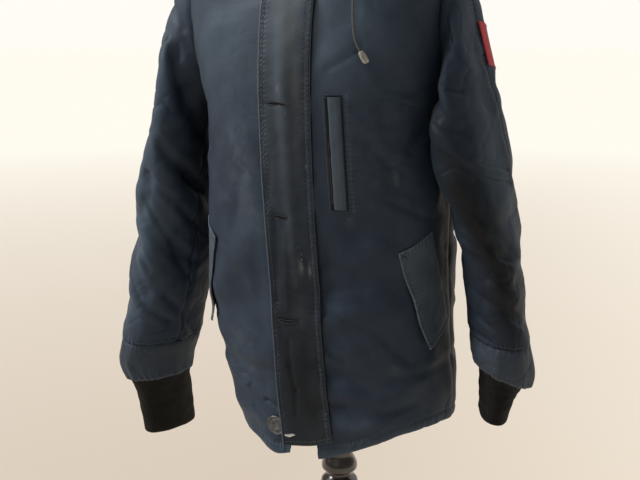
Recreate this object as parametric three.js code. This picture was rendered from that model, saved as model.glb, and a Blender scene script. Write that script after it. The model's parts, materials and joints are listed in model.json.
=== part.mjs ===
// A worn padded parka on a limbless dress form with a turned stand, in millimetres.
// X points to the wearer's left, Y to the back and Z up; the origin is on the floor under the stand.
import * as THREE from "three";

// A table from the names of its columns and its rows of numbers.
function table(columns, rows) {
  const names = columns.split(" ");
  return rows.map((row) => Object.fromEntries(names.map((name, i) => [name, row[i]])));
}

// Driving sizes. Heights in the tables are measured up from the lowest line of the jacket's hem.
const HEM_ABOVE_FLOOR = 660;
const WALL = 2.4;
const SEAM_GAP = 0.35;
const CLEARANCE = 0.6;

const FLAP_HALF_WIDTH = 38;
const FLAP_WALL = 2.6;
const FLAP_BOTTOM = 26;
const FLAP_TOP_RING = 11.7;
const FLAP_SLANT = 0.2;

// Half the angle that the armhole takes out of the body, before the side line and behind it, and how
// wide one degree of the body and of a sleeve is where folds are measured.
const ARMHOLE_FRONT = 18;
const ARMHOLE_BEHIND = 19;
const BODY_DEGREE = 2.9;
const SLEEVE_DEGREE = 1.15;
const SLEEVE_OFF_BODY = 5;

const COLLAR_HEIGHT = 48;
const COLLAR_WALL = 3;

const CUFF_RIBS = 22;
const CUFF_WALL = 2.6;
const RIB_RISE = 0.9;

const BUTTON_RADIUS = 16;
const CORD_RADIUS = 1.7;

const BASE_RADIUS = 205;
const BASE_THICKNESS = 24;

// Rings of the jacket's body, from the hem (ring 0) over the armpit (7) and shoulder tip (10) to the
// neck (12). A ring may be higher at the side than in front, which is how it climbs over the shoulder.
// middleX and middleY are its centre, right to back its reach from there, and square how boxy it is.
const BODY = table("ring atFront atSide atBack middleX middleY right left front back square", [
  [0, 0, 0, 0, -2, -18, 138, 194, 132, 126, 2.3],
  [1, 62, 62, 62, -3, -18, 160, 197, 136, 128, 2.3],
  [2, 120, 120, 120, -4, -19, 179, 197, 140, 130, 2.35],
  [3, 200, 200, 200, -5, -20, 192, 193, 144, 132, 2.4],
  [4, 280, 280, 280, -6, -20, 193, 191, 147, 134, 2.4],
  [5, 360, 360, 360, -9, -21, 189, 193, 150, 134, 2.4],
  [6, 450, 450, 450, -13, -22, 184, 192, 153, 132, 2.45],
  [7, 530, 530, 530, -15, -23, 185, 191, 154, 128, 2.5],
  [8, 594, 624, 604, -16, -22, 198, 199, 154, 124, 2.5],
  [9, 640, 694, 668, -17, -19, 206, 205, 152, 114, 2.4],
  [10, 674, 737, 718, -18, -15, 205, 202, 146, 99, 2.3],
  [11, 698, 760, 760, -18, -13, 142, 142, 124, 82, 2.2],
  [12, 712, 778, 784, -18, -13, 82, 82, 92, 75, 2.1],
]);

// How far the hem is lifted above its lowest line, by the angle round the body from the front.
const HEM_LINE = table("angle lift", [
  [-180, 8],
  [-120, 16],
  [-75, 26],
  [-45, 10],
  [-22, -7],
  [-8, 0],
  [8, -3],
  [25, 9],
  [42, 27],
  [58, 44],
  [85, 46],
  [130, 22],
  [180, 8],
]);

// The middle line of the storm flap and half the gap between the two fronts under it, by height.
const FRONT_OPENING = table("height flapX edgeX halfGap", [
  [0, 9, -2, 24],
  [40, 6, -1, 21],
  [150, -2, -3, 13],
  [270, -7, -7, 7],
  [400, -13, -12, 3],
  [540, -16, -15, 2],
  [720, -15, -15, 2],
]);

// Folds of the body: soft troughs (depth below 0) and ridges between two places on the cloth, given as
// the angle round the body and the height.
const BODY_FOLDS = table("fromAngle fromHeight toAngle toHeight width depth", [
  [14, 152, 44, 118, 24, -6],
  [14, 84, 50, 88, 22, -5],
  [16, 268, 48, 286, 34, -5],
  [18, 222, 52, 240, 26, 4],
  [40, 60, 66, 150, 34, 4],
  [64, 500, 34, 360, 40, -6],
  [52, 560, 30, 640, 30, -5],
  [74, 420, 58, 350, 26, 5],
  [-66, 520, -40, 380, 36, -5],
  [-30, 330, -52, 250, 40, 5],
  [-74, 150, -28, 108, 30, -6],
  [-60, 200, -34, 232, 34, -4],
  [-84, 66, -36, 52, 30, 5],
  [-96, 90, -150, 130, 40, -9],
  [112, 500, 148, 390, 44, -7],
  [-112, 505, -150, 370, 42, -7],
  [128, 600, 168, 560, 44, -5],
  [-126, 610, -166, 572, 40, -5],
  [118, 300, 172, 262, 44, 6],
  [-172, 230, -120, 196, 40, 6],
  [140, 60, 150, 210, 44, -6],
]);

// Sections across each sleeve, from just under the armpit (row 0) to the gathered hem. x and y are the
// section's centre, thin and deep its half sizes, turn swings the deep way outwards from straight
// ahead, and drop is how much lower the outer side lies for each millimetre outwards.
const SLEEVE_RIGHT = table("row height x y thin deep turn drop", [
  [0, 470, -258, -22, 45, 82, 15, 0.1],
  [1, 384, -275, -26, 48, 80, 18, 0],
  [2, 300, -283, -28, 51, 80, 22, 0],
  [3, 223, -296, -31, 50, 79, 22, 0],
  [4, 170, -306, -33, 48, 76, 22, -0.05],
  [5, 122, -315, -35, 46, 74, 22, -0.1],
  [6, 82, -324, -37, 45, 72, 22, 0],
  [7, 49, -320, -38, 39, 61, 22, 0.1],
]);
const SLEEVE_LEFT = table("row height x y thin deep turn drop", [
  [0, 470, 217, -58, 43, 86, -16, 0.1],
  [1, 426, 229, -56, 43, 83, -14, 0],
  [2, 362, 243, -50, 43, 81, -2, 0],
  [3, 296, 253, -45, 43, 79, 16, 0],
  [4, 240, 259, -42, 42, 78, 20, 0],
  [5, 196, 266, -41, 43, 76, 18, 0.1],
  [6, 164, 272, -42, 47, 74, 14, 0.25],
  [7, 144, 274, -44, 45, 65, 12, 0.4],
]);

// Folds of the sleeves, by the angle round the sleeve (0 at the body, 90 in front, 180 outside) and the
// height. Most of them run from the front down to the body, as cloth hangs over a bent elbow.
const FOLDS_RIGHT = table("fromAngle fromHeight toAngle toHeight width depth", [
  [176, 690, 120, 500, 34, -9],
  [130, 660, 84, 600, 24, -6],
  [158, 400, 112, 350, 22, -6],
  [170, 350, 96, 290, 22, -7],
  [84, 392, 24, 310, 24, -9],
  [90, 345, 20, 270, 22, -8],
  [128, 300, 62, 215, 24, -7],
  [170, 250, 110, 190, 26, -5],
  [200, 420, 290, 330, 30, -7],
  [214, 300, 300, 240, 28, -7],
  [236, 620, 290, 540, 34, -7],
]);
const FOLDS_LEFT = table("fromAngle fromHeight toAngle toHeight width depth", [
  [96, 610, 150, 560, 26, -6],
  [66, 545, 130, 500, 24, -7],
  [56, 480, 120, 440, 26, -5],
  [40, 392, 130, 330, 26, -7],
  [50, 330, 140, 290, 22, -6],
  [60, 262, 150, 232, 24, -6],
  [220, 430, 300, 340, 30, -7],
  [210, 310, 300, 250, 28, -7],
  [240, 620, 290, 540, 34, -6],
]);

// Sections of the rib-knit cuffs, from where they are sewn in above the sleeve's hem to their lower end.
const CUFF_RIGHT = table("row height x y thin deep turn drop", [
  [0, 38, -318, -37, 30, 53, 22, 0.1],
  [1, 4, -313, -35, 27, 51, 22, 0.05],
  [2, -48, -308, -33, 25, 49, 22, 0.05],
]);
const CUFF_LEFT = table("row height x y thin deep turn drop", [
  [0, 134, 272, -45, 31, 51, 12, 0.4],
  [1, 108, 267, -45, 25, 50, 14, 0.3],
  [2, 71, 262, -46, 20, 46, 16, 0.2],
]);

// Sections of the dress form, from its flat underside to the neck cap.
const FORM = table("row height x y across deep", [
  [0, 92, -1, -14, 128, 88],
  [1, 104, -1, -14, 138, 98],
  [2, 190, -3, -14, 146, 104],
  [3, 300, -8, -14, 128, 94],
  [4, 400, -12, -15, 132, 98],
  [5, 500, -15, -17, 152, 108],
  [6, 580, -16, -17, 166, 110],
  [7, 640, -17, -16, 172, 100],
]);
const NECK = table("height x y radius", [
  [800, -18, -8, 60],
  [838, -18, -6, 57],
  [846, -18, -6, 52],
]);

// Profile of the turned pole above its base: height above the floor and radius.
const POLE = table("height radius", [
  [24.4, 62],
  [34, 60],
  [44, 46],
  [60, 34],
  [96, 27],
  [112, 33],
  [124, 33],
  [140, 24],
  [250, 21],
  [360, 25],
  [430, 31],
  [470, 33],
  [500, 26],
  [510, 24],
  [520, 27],
  [536, 31],
  [552, 30],
  [561, 21],
  [566, 21],
  [572, 29],
  [579, 30],
  [586, 28],
  [600, 22],
  [700, 20],
  [751.6, 20],
]);

// The drawcord's way from its eyelet on the collar down the wearer's left front.
const CORD_ROUTE = table("x y z", [
  [40.9, -83.2, 1411.3],
  [44.6, -87.6, 1411.0],
  [50.0, -95.0, 1407.5],
  [57.0, -107.0, 1400.0],
  [64.8, -122.0, 1387.8],
  [72.2, -138.2, 1373.2],
  [75.8, -152.6, 1357.4],
  [77.0, -159.6, 1343.0],
  [76.8, -162.4, 1330.0],
  [76.9, -163.4, 1317.7],
  [77.1, -163.7, 1307.4],
  [78.7, -163.9, 1289.4],
  [81.7, -164.2, 1276.5],
  [87.9, -164.2, 1264.8],
]);
const CORD_END = { length: 18, wide: 9.5, thick: 5.6, down: { x: 0.5, y: 0.14, z: -0.85 } };

const radians = THREE.MathUtils.degToRad;
const clamp = THREE.MathUtils.clamp;
const lerp = THREE.MathUtils.lerp;
const vector = (x, y, z) => new THREE.Vector3(x, y, z);

// The smooth value of a table's column where another column, which only rises, has the given value.
function valueAt(rows, by, value, column) {
  const last = rows.length - 1;
  let i = 0;
  while (i < last - 1 && value > rows[i + 1][by]) i += 1;
  const slope = (k) => {
    const before = rows[Math.max(k - 1, 0)];
    const after = rows[Math.min(k + 1, last)];
    return (after[column] - before[column]) / (after[by] - before[by]);
  };
  const width = rows[i + 1][by] - rows[i][by];
  const t = clamp((value - rows[i][by]) / width, 0, 1);
  const ease = t * t * (3 - 2 * t);
  const start = t * (1 - t) * (1 - t) * width * slope(i);
  const end = t * t * (1 - t) * width * slope(i + 1);
  return rows[i][column] + ease * (rows[i + 1][column] - rows[i][column]) + start - end;
}

// A whole row of a table, smooth between its entries.
function rowAt(rows, by, value) {
  const row = {};
  for (const column of Object.keys(rows[0])) row[column] = valueAt(rows, by, value, column);
  return row;
}

// The sum of the folds at a place on the cloth, where one degree is so many millimetres wide.
function foldDepth(folds, angle, height, millimetresPerDegree) {
  let depth = 0;
  for (const fold of folds) {
    const runAcross = (fold.toAngle - fold.fromAngle) * millimetresPerDegree;
    const runUp = fold.toHeight - fold.fromHeight;
    const across = (angle - fold.fromAngle) * millimetresPerDegree;
    const up = height - fold.fromHeight;
    const length = Math.hypot(runAcross, runUp);
    const along = (across * runAcross + up * runUp) / length;
    const aside = (across * runUp - up * runAcross) / length;
    const past = Math.max(-along, along - length, 0);
    const distance = Math.hypot(aside, past * 0.8) / fold.width;
    depth += fold.depth * Math.exp(-2.5 * distance * distance);
  }
  return depth;
}

// Body surface: angle in degrees from the front towards the wearer's left, ring as in the table.
// Past the middle of the back the angle goes on to 270 or comes from -180, and both mean the same.
function bodyPoint(angleFrom, ring, folded = true) {
  const angle = angleFrom > 180 ? angleFrom - 360 : angleFrom;
  const otherWay = angle > 0 ? angle - 360 : angle + 360;
  const row = rowAt(BODY, "ring", ring);
  const sine = Math.sin(radians(angle));
  const cosine = Math.cos(radians(angle));
  const across = sine < 0 ? row.right : row.left;
  const deep = cosine < 0 ? row.back : row.front;
  const share = Math.abs(sine / across) ** row.square + Math.abs(cosine / deep) ** row.square;
  const turned = sine * sine;
  const middleHeight = cosine < 0 ? row.atBack : row.atFront;
  const hem = valueAt(HEM_LINE, "angle", angle, "lift") * Math.max(0, 1 - ring / 2.5) ** 1.5;
  const height = row.atSide * turned + middleHeight * (1 - turned) + hem;
  const fade = clamp((11 - ring) / 2, 0, 1);
  const foldAt = (at) => foldDepth(BODY_FOLDS, at, height, BODY_DEGREE);
  const fold = folded ? fade * (foldAt(angle) + foldAt(otherWay)) : 0;
  const reach = share ** (-1 / row.square) + fold;
  return vector(row.middleX + reach * sine, row.middleY - reach * cosine, HEM_ABOVE_FLOOR + height);
}

// The outward direction of a surface given by a function of two values.
function normalOf(surface, a, b, stepA, stepB, lowB = -Infinity, highB = Infinity) {
  const b0 = Math.max(b - stepB, lowB);
  const b1 = Math.min(b + stepB, highB);
  const alongA = surface(a + stepA, b).sub(surface(a - stepA, b));
  const alongB = surface(a, b1).sub(surface(a, b0));
  return alongA.cross(alongB).normalize();
}

const bodyNormal = (angle, ring) => normalOf(bodyPoint, angle, ring, 0.6, 0.03, 0, 12);

// The angle round the body at which a ring has the given X in front.
function angleForX(x, ring) {
  let low = -75;
  let high = 75;
  for (let i = 0; i < 26; i += 1) {
    const middle = (low + high) / 2;
    if (bodyPoint(middle, ring, false).x < x) low = middle;
    else high = middle;
  }
  return (low + high) / 2;
}

// The ring that passes a height at an angle.
function ringForHeight(angle, height) {
  let low = 0;
  let high = 12;
  for (let i = 0; i < 22; i += 1) {
    const middle = (low + high) / 2;
    if (bodyPoint(angle, middle, false).z - HEM_ABOVE_FLOOR < height) low = middle;
    else high = middle;
  }
  return (low + high) / 2;
}

// Half the armhole's angle at a ring, in front of the side line or behind it.
function armholeAngle(ring, behind) {
  const t = clamp((ring - 8.5) / 1.5, -1, 1);
  return (behind ? ARMHOLE_BEHIND : ARMHOLE_FRONT) * Math.sqrt(1 - t * t);
}

// A closed sheet: outer points in a grid, inner points a wall below them, and a rim all round.
// When it is closed round, its last column meets its first one.
function sheet(outer, inner, closedRound = false) {
  const rows = outer.length;
  const columns = outer[0].length;
  const positions = [];
  const index = [];
  for (const grid of [outer, inner])
    for (const line of grid) for (const p of line) positions.push(p.x, p.y, p.z);
  const at = (side, r, c) => side * rows * columns + r * columns + (c % columns);
  const quad = (a, b, c, d) => index.push(a, b, c, a, c, d);
  const lastColumn = closedRound ? columns : columns - 1;
  for (let r = 0; r < rows - 1; r += 1)
    for (let c = 0; c < lastColumn; c += 1) {
      quad(at(0, r, c), at(0, r, c + 1), at(0, r + 1, c + 1), at(0, r + 1, c));
      quad(at(1, r, c), at(1, r + 1, c), at(1, r + 1, c + 1), at(1, r, c + 1));
    }
  for (let c = 0; c < lastColumn; c += 1) {
    quad(at(0, 0, c), at(1, 0, c), at(1, 0, c + 1), at(0, 0, c + 1));
    quad(at(0, rows - 1, c), at(0, rows - 1, c + 1), at(1, rows - 1, c + 1), at(1, rows - 1, c));
  }
  if (!closedRound)
    for (let r = 0; r < rows - 1; r += 1) {
      quad(at(0, r, 0), at(0, r + 1, 0), at(1, r + 1, 0), at(1, r, 0));
      const c = columns - 1;
      quad(at(0, r, c), at(1, r, c), at(1, r + 1, c), at(0, r + 1, c));
    }
  return geometryFrom(positions, index);
}

// A geometry whose faces point out, whichever way its grid was wound.
function geometryFrom(positions, index) {
  let volume = 0;
  const corner = (i) => vector(...positions.slice(3 * i, 3 * i + 3));
  for (let i = 0; i < index.length; i += 3) {
    const [a, b, c] = [0, 1, 2].map((k) => corner(index[i + k]));
    volume += a.dot(b.cross(c));
  }
  if (volume < 0)
    for (let i = 0; i < index.length; i += 3)
      [index[i + 1], index[i + 2]] = [index[i + 2], index[i + 1]];
  const geometry = new THREE.BufferGeometry();
  geometry.setAttribute("position", new THREE.Float32BufferAttribute(positions, 3));
  geometry.setIndex(index);
  geometry.computeVertexNormals();
  return geometry;
}

// A grid of points from a function of the row and column.
function grid(rows, columns, pointAt) {
  return Array.from({ length: rows }, (_, r) => Array.from({ length: columns }, (_, c) => pointAt(r, c)));
}

// The rows of rings that all body panels share: even below the armpit, round the armhole as on a
// circle's angle, and a few over the shoulder.
const RINGS_BELOW = 13;
const RINGS_ARMHOLE = 10;
const RINGS_SHOULDER = 3;
const PANEL_RINGS = [
  ...Array.from({ length: RINGS_BELOW }, (_, i) => (7 * i) / RINGS_BELOW),
  ...Array.from({ length: RINGS_ARMHOLE }, (_, i) => 8.5 - 1.5 * Math.cos((Math.PI * i) / RINGS_ARMHOLE)),
  ...Array.from({ length: RINGS_SHOULDER + 1 }, (_, i) => 10 + (2 * i) / RINGS_SHOULDER),
];

// A body panel between two edges, each a function of the ring that gives an angle.
function bodyPanel(columns, startAngle, endAngle) {
  const place = (r, c) => {
    const ring = PANEL_RINGS[r];
    return [lerp(startAngle(ring), endAngle(ring), c / (columns - 1)), ring];
  };
  const outer = grid(PANEL_RINGS.length, columns, (r, c) => bodyPoint(...place(r, c)));
  const inner = grid(PANEL_RINGS.length, columns, (r, c) =>
    bodyPoint(...place(r, c)).addScaledVector(bodyNormal(...place(r, c)), -WALL),
  );
  return sheet(outer, inner);
}

const seamAngle = THREE.MathUtils.radToDeg(SEAM_GAP / 2 / 190);

function frontEdgeAngle(ring, side) {
  const height = bodyPoint(0, ring, false).z - HEM_ABOVE_FLOOR;
  const opening = rowAt(FRONT_OPENING, "height", height);
  return angleForX(opening.edgeX + side * opening.halfGap, ring);
}

function frontPanel(side) {
  return bodyPanel(
    12,
    (ring) => frontEdgeAngle(ring, side),
    (ring) => side * (90 - armholeAngle(ring, false) - seamAngle),
  );
}

function backPanel() {
  return bodyPanel(
    19,
    (ring) => 90 + armholeAngle(ring, true) + seamAngle,
    (ring) => 270 - armholeAngle(ring, true) - seamAngle,
  );
}

// A patch that lies on the body: angles and heights come from a function of two shares from 0 to 1,
// and lift says how far its inner face stands off the body there.
function bodyPatch(rows, columns, placeAt, lift, wall) {
  const surface = (above) => (r, c) => {
    const [u, v] = [c / (columns - 1), r / (rows - 1)];
    const { angle, ring } = placeAt(u, v);
    return bodyPoint(angle, ring).addScaledVector(bodyNormal(angle, ring), lift(u, v) + above(u, v));
  };
  const thick = typeof wall === "function" ? wall : () => wall;
  return sheet(grid(rows, columns, surface(thick)), grid(rows, columns, surface(() => 0)));
}

// The storm flap: sewn down along its edge on the wearer's left, free on the other, with a trough
// down its middle and a lower corner cut aslant.
function stormFlap() {
  const bottomRing = ringForHeight(0, FLAP_BOTTOM);
  const between = PANEL_RINGS.filter((ring) => ring > bottomRing + 0.15 && ring < FLAP_TOP_RING - 0.1);
  const rings = [bottomRing, ...between, FLAP_TOP_RING];
  const place = (u, v) => {
    const row = Math.round(v * (rings.length - 1));
    const ring = rings[row] - (row === 0 ? FLAP_SLANT * Math.max(0, u - 0.15) : 0);
    const height = bodyPoint(0, ring, false).z - HEM_ABOVE_FLOOR;
    const middle = valueAt(FRONT_OPENING, "height", height, "flapX");
    return { angle: angleForX(middle + FLAP_HALF_WIDTH * (1 - 2 * u), ring), ring };
  };
  const lift = (u, v) => {
    const free = 3.2 * u * u * (3 - 2 * u);
    const trough = -2.2 * Math.exp(-(((u - 0.62) / 0.14) ** 2)) * clamp(1 - Math.abs(v - 0.38) / 0.3, 0, 1);
    const overButton = 5 * u * u * clamp(1.6 - v * 9, 0, 1);
    return 1.4 + free + trough * u + overButton;
  };
  return bodyPatch(rings.length, 8, place, lift, FLAP_WALL);
}

function pocketFlap(side) {
  const place = (u, v) => {
    const height = lerp(180, 326, v) + 26 * u;
    const angle = lerp(lerp(65, 52, v), lerp(84, 69, v), u);
    return { angle: side * angle, ring: ringForHeight(angle, height) };
  };
  const flare = side > 0 ? 9 : 3;
  const lift = (u, v) => 0.3 + (1 - u) ** 1.5 * (2 + flare * (1 - v) ** 2);
  return bodyPatch(11, 6, place, lift, WALL);
}

// The welt of the upright chest pocket, rounded off at its long edges.
function chestWelt() {
  const place = (u, v) => {
    const ring = ringForHeight(23, lerp(389, 544, v));
    const x = lerp(54, 45.5, v) + 17 * u;
    return { angle: angleForX(x, ring), ring };
  };
  const crown = (u) => 1.4 + 2.2 * Math.sin(Math.PI * clamp(u, 0, 1)) ** 0.6;
  return bodyPatch(13, 6, place, () => 0.9, (u) => crown(u));
}

function collar() {
  const rows = 5;
  const columns = 29;
  const point = (r, c, inward) => {
    const t = r / (rows - 1);
    const angle = lerp(frontEdgeAngle(12, 1), 360 + frontEdgeAngle(12, -1), c / (columns - 1));
    const foot = bodyPoint(angle, 12, false);
    const towards = vector(Math.sin(radians(angle)), -Math.cos(radians(angle)), 0);
    const lean = -6 * t * t;
    foot.addScaledVector(towards, lean - inward);
    foot.z += SEAM_GAP + 0.3 + COLLAR_HEIGHT * t;
    return foot;
  };
  return sheet(
    grid(rows, columns, (r, c) => point(r, c, 0)),
    grid(rows, columns, (r, c) => point(r, c, COLLAR_WALL)),
  );
}

// One sleeve, with its table of sections, its folds and the way its cap leaves the shoulder.
class Sleeve {
  constructor(side, sections, folds, capFall, capReach) {
    this.side = side;
    this.sections = sections;
    this.folds = folds;
    this.capFall = capFall;
    this.capReach = capReach;
  }

  // A point of the plain tube below the cap: turn from 0 at the body over 90 in front to 180 outside.
  tubePoint(turn, row, sections = this.sections) {
    const at = rowAt(sections, "row", row);
    const swing = radians(at.turn);
    const [outwards, forwards] = [-Math.cos(radians(turn)), Math.sin(radians(turn))];
    const power = 2.2;
    const scale = (Math.abs(outwards) ** power + Math.abs(forwards) ** power) ** (-1 / power);
    const thin = outwards * scale * at.thin;
    const deep = forwards * scale * at.deep;
    const across = thin * Math.cos(swing) + deep * Math.sin(swing);
    const back = thin * Math.sin(swing) - deep * Math.cos(swing);
    return vector(at.x + this.side * across, at.y + back, HEM_ABOVE_FLOOR + at.height - at.drop * thin);
  }

  // The seam round the armhole, just outside the body's own edge.
  armholePoint(turn) {
    const ring = 8.5 - 1.5 * Math.cos(radians(turn));
    const sine = Math.sin(radians(turn));
    const angle = 90 - (sine > 0 ? ARMHOLE_FRONT : ARMHOLE_BEHIND) * sine;
    const high = (1 - Math.cos(radians(turn))) / 2;
    const gap = SEAM_GAP * (1.5 + 3 * high * high);
    return bodyPoint(this.side * angle, ring).add(vector(this.side * gap, 0, 0));
  }

  // A point of the sleeve: place 0 is the armhole seam, 1 the first section, then a row for each one.
  point(turn, place) {
    const angle = ((turn % 360) + 360) % 360;
    let p;
    if (place >= 1) p = this.tubePoint(angle, place - 1);
    else {
      const high = (1 - Math.cos(radians(angle))) / 2;
      const out = vector(this.side, 0, -lerp(0.25, this.capFall, high)).normalize();
      const start = this.armholePoint(angle);
      const end = this.tubePoint(angle, 0);
      const down = this.tubePoint(angle, 0.15).sub(end).normalize();
      const first = start.clone().addScaledVector(out, lerp(9, this.capReach, high));
      const second = end.clone().addScaledVector(down, -lerp(14, 105, high));
      p = new THREE.CubicBezierCurve3(start, first, second, end).getPoint(place);
    }
    return this.shaped(p, angle, place);
  }

  // The point with the folds in it, kept off the body.
  shaped(p, angle, place) {
    const fade = clamp(place * 2.5, 0, 1);
    const centre = place >= 1 ? rowAt(this.sections, "row", place - 1) : this.sections[0];
    const away = vector(p.x - centre.x, p.y - centre.y, 0).normalize();
    const height = p.z - HEM_ABOVE_FLOOR;
    p.addScaledVector(away, fade * foldDepth(this.folds, angle, height, SLEEVE_DEGREE));
    return this.keptOff(p, clamp(place * 2, 0, 1));
  }

  // Moves a point out of the body's way, softly, so that the cloth lies along the body.
  keptOff(p, strength) {
    const height = p.z - HEM_ABOVE_FLOOR;
    if (strength === 0 || height > 700) return p;
    const ringHigh = BODY.findIndex((row) => row.atSide >= height);
    const below = BODY[Math.max(ringHigh - 1, 0)];
    const ring = ringHigh - 1 + (height - below.atSide) / (BODY[ringHigh].atSide - below.atSide);
    const row = rowAt(BODY, "ring", clamp(ring, 0, 12));
    const angle = Math.atan2(p.x - row.middleX, -(p.y - row.middleY));
    const wall = bodyPoint(THREE.MathUtils.radToDeg(angle), clamp(ring, 0, 12));
    const reach = Math.hypot(p.x - row.middleX, p.y - row.middleY);
    const soft = SLEEVE_OFF_BODY * strength;
    const limit = Math.hypot(wall.x - row.middleX, wall.y - row.middleY) + soft;
    const beyond = reach - limit;
    const kept = limit + (beyond + Math.hypot(beyond, soft)) / 2;
    p.x = row.middleX + Math.sin(angle) * kept;
    p.y = row.middleY - Math.cos(angle) * kept;
    return p;
  }

  normal(turn, place, low = 0, high = this.sections.length) {
    const surface = (a, b) => this.point(a, b);
    return normalOf(surface, turn, place, 2, 0.04, low, high).multiplyScalar(-this.side);
  }

  pointIn(turn, place, depth) {
    return this.point(turn, place).addScaledVector(this.normal(turn, place), -depth);
  }
}

// The outer seam leaves the shoulder tip and swings a little to the back on its way down.
const outerSeam = (place) => 180 + 26 * THREE.MathUtils.smoothstep(place, 0, 1);
const armpitSeam = (turn) => () => turn;

const CAP_ROWS = 8;
const TUBE_ROWS = 11;
const BAND_SEAM = 6;

// One half of a sleeve, front or back, from the armhole to the band.
function sleevePanel(sleeve, startTurn, endTurn) {
  const columns = 11;
  const places = [
    ...Array.from({ length: CAP_ROWS }, (_, i) => i / CAP_ROWS),
    ...Array.from({ length: TUBE_ROWS + 1 }, (_, i) => 1 + ((BAND_SEAM - 1) * i) / TUBE_ROWS),
  ];
  const seam = THREE.MathUtils.radToDeg(SEAM_GAP / 2 / 46);
  const pointIn = (r, c, depth) => {
    const place = places[r];
    const turn = lerp(startTurn(place) + seam, endTurn(place) - seam, c / (columns - 1));
    return sleeve.pointIn(turn, place, depth);
  };
  return sheet(
    grid(places.length, columns, (r, c) => pointIn(r, c, 0)),
    grid(places.length, columns, (r, c) => pointIn(r, c, WALL)),
  );
}

// The gathered band at the end of a sleeve: its puckers are waves that grow towards both its edges.
function sleeveBand(sleeve) {
  const columns = 32;
  const places = [0.02, 0.3, 0.75, 1.25, 1.7, 2].map((step) => BAND_SEAM + step);
  const pucker = (turn, place) => {
    const share = (place - BAND_SEAM) / 2;
    const wave = Math.cos(radians(turn * 9 + 40)) + 0.6 * Math.cos(radians(turn * 14));
    return 0.9 * wave * (Math.sin(Math.PI * share) ** 0.5 * 0.5 + 0.7 * share * share);
  };
  const point = (r, c, depth) => {
    const turn = (360 * c) / columns;
    return sleeve.pointIn(turn, places[r], depth - pucker(turn, places[r]));
  };
  return sheet(
    grid(places.length, columns, (r, c) => point(r, c, 0)),
    grid(places.length, columns, (r, c) => point(r, c, WALL)),
    true,
  );
}

// A rib-knit cuff: its head flares out to the band that holds it, and the ribs are raised outside only.
function ribCuff(sleeve, sections) {
  const columns = CUFF_RIBS * 2;
  const rows = 5;
  const point = (r, c, inward) => {
    const turn = (360 * c) / columns;
    if (r === 0) return sleeve.pointIn(turn, 7.35, WALL + CLEARANCE + 1.6 + inward);
    const place = (2 * (r - 1)) / (rows - 2);
    const away = radians(turn);
    const p = sleeve.tubePoint(turn, place, sections);
    const rise = inward > 0 ? 0 : RIB_RISE * (c % 2);
    const centre = rowAt(sections, "row", place);
    const out = vector(p.x - centre.x, p.y - centre.y, 0).normalize();
    return p.addScaledVector(out, rise - inward * (1 - 0.1 * Math.abs(Math.sin(away))));
  };
  return sheet(
    grid(rows, columns, (r, c) => point(r, c, 0)),
    grid(rows, columns, (r, c) => point(r, c, CUFF_WALL)),
    true,
  );
}

// The plain square patch on the wearer's left sleeve, by the turn round the sleeve and the place.
function sleevePatch(sleeve) {
  const point = (r, c, above) => {
    const place = lerp(0.62, 0.42, r / 4);
    const turn = outerSeam(place) + lerp(4, 46, c / 4);
    return sleeve.pointIn(turn, place, -above);
  };
  return sheet(grid(5, 5, (r, c) => point(r, c, 2.2)), grid(5, 5, (r, c) => point(r, c, 1.1)));
}

// A closed loft through rings of points with a flat cap at each end.
function loft(rings) {
  const count = rings[0].length;
  const positions = rings.flat().flatMap((p) => [p.x, p.y, p.z]);
  const index = [];
  for (let r = 0; r < rings.length - 1; r += 1)
    for (let c = 0; c < count; c += 1) {
      const [a, b] = [r * count + c, r * count + ((c + 1) % count)];
      index.push(a, b, b + count, a, b + count, a + count);
    }
  const top = (rings.length - 1) * count;
  for (let c = 1; c < count - 1; c += 1) {
    index.push(0, c + 1, c);
    index.push(top, top + c, top + c + 1);
  }
  return geometryFrom(positions, index);
}

// The dress form: its shoulders lie just under the jacket's, and below them it is slimmer.
function dressForm() {
  const count = 24;
  const angles = Array.from({ length: count }, (_, i) => (360 * i) / count);
  const wrap = (angle) => (angle > 180 ? angle - 360 : angle);
  const torso = [0, 0.5, 1, 1.5, 2, 2.6, 3.2, 4, 4.8, 5.5, 6.2, 7].map((row) => {
    const at = rowAt(FORM, "row", row);
    return angles.map((angle) => {
      const [sine, cosine] = [Math.sin(radians(angle)), Math.cos(radians(angle))];
      const reach = (Math.abs(sine / at.across) ** 2.2 + Math.abs(cosine / at.deep) ** 2.2) ** (-1 / 2.2);
      return vector(at.x + reach * sine, at.y - reach * cosine, HEM_ABOVE_FLOOR + at.height);
    });
  });
  const shoulders = [10.15, 10.5, 11, 11.5, 12].map((ring) =>
    angles.map((angle) => {
      const at = wrap(angle);
      const normal = normalOf((a, b) => bodyPoint(a, b, false), at, ring, 0.6, 0.03, 0, 12);
      const side = Math.abs(Math.sin(radians(at)));
      const atMiddle = 5 * Math.sqrt(1 - side) + 6 * (1 - side);
      const below = WALL + CLEARANCE + atMiddle + 3 * (11 - Math.min(ring, 11));
      return bodyPoint(at, ring, false).addScaledVector(normal, -below);
    }),
  );
  const neck = NECK.map((row) =>
    angles.map((angle) =>
      vector(
        row.x + row.radius * Math.sin(radians(angle)),
        row.y - row.radius * Math.cos(radians(angle)),
        HEM_ABOVE_FLOOR + row.height,
      ),
    ),
  );
  const neckFoot = angles.map((angle) => {
    const inward = vector(-Math.sin(radians(angle)), Math.cos(radians(angle)), 0);
    const foot = bodyPoint(wrap(angle), 12, false).addScaledVector(inward, 8);
    foot.z -= 4;
    return foot;
  });
  return loft([...torso, ...shoulders, neckFoot, ...neck]);
}

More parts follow.
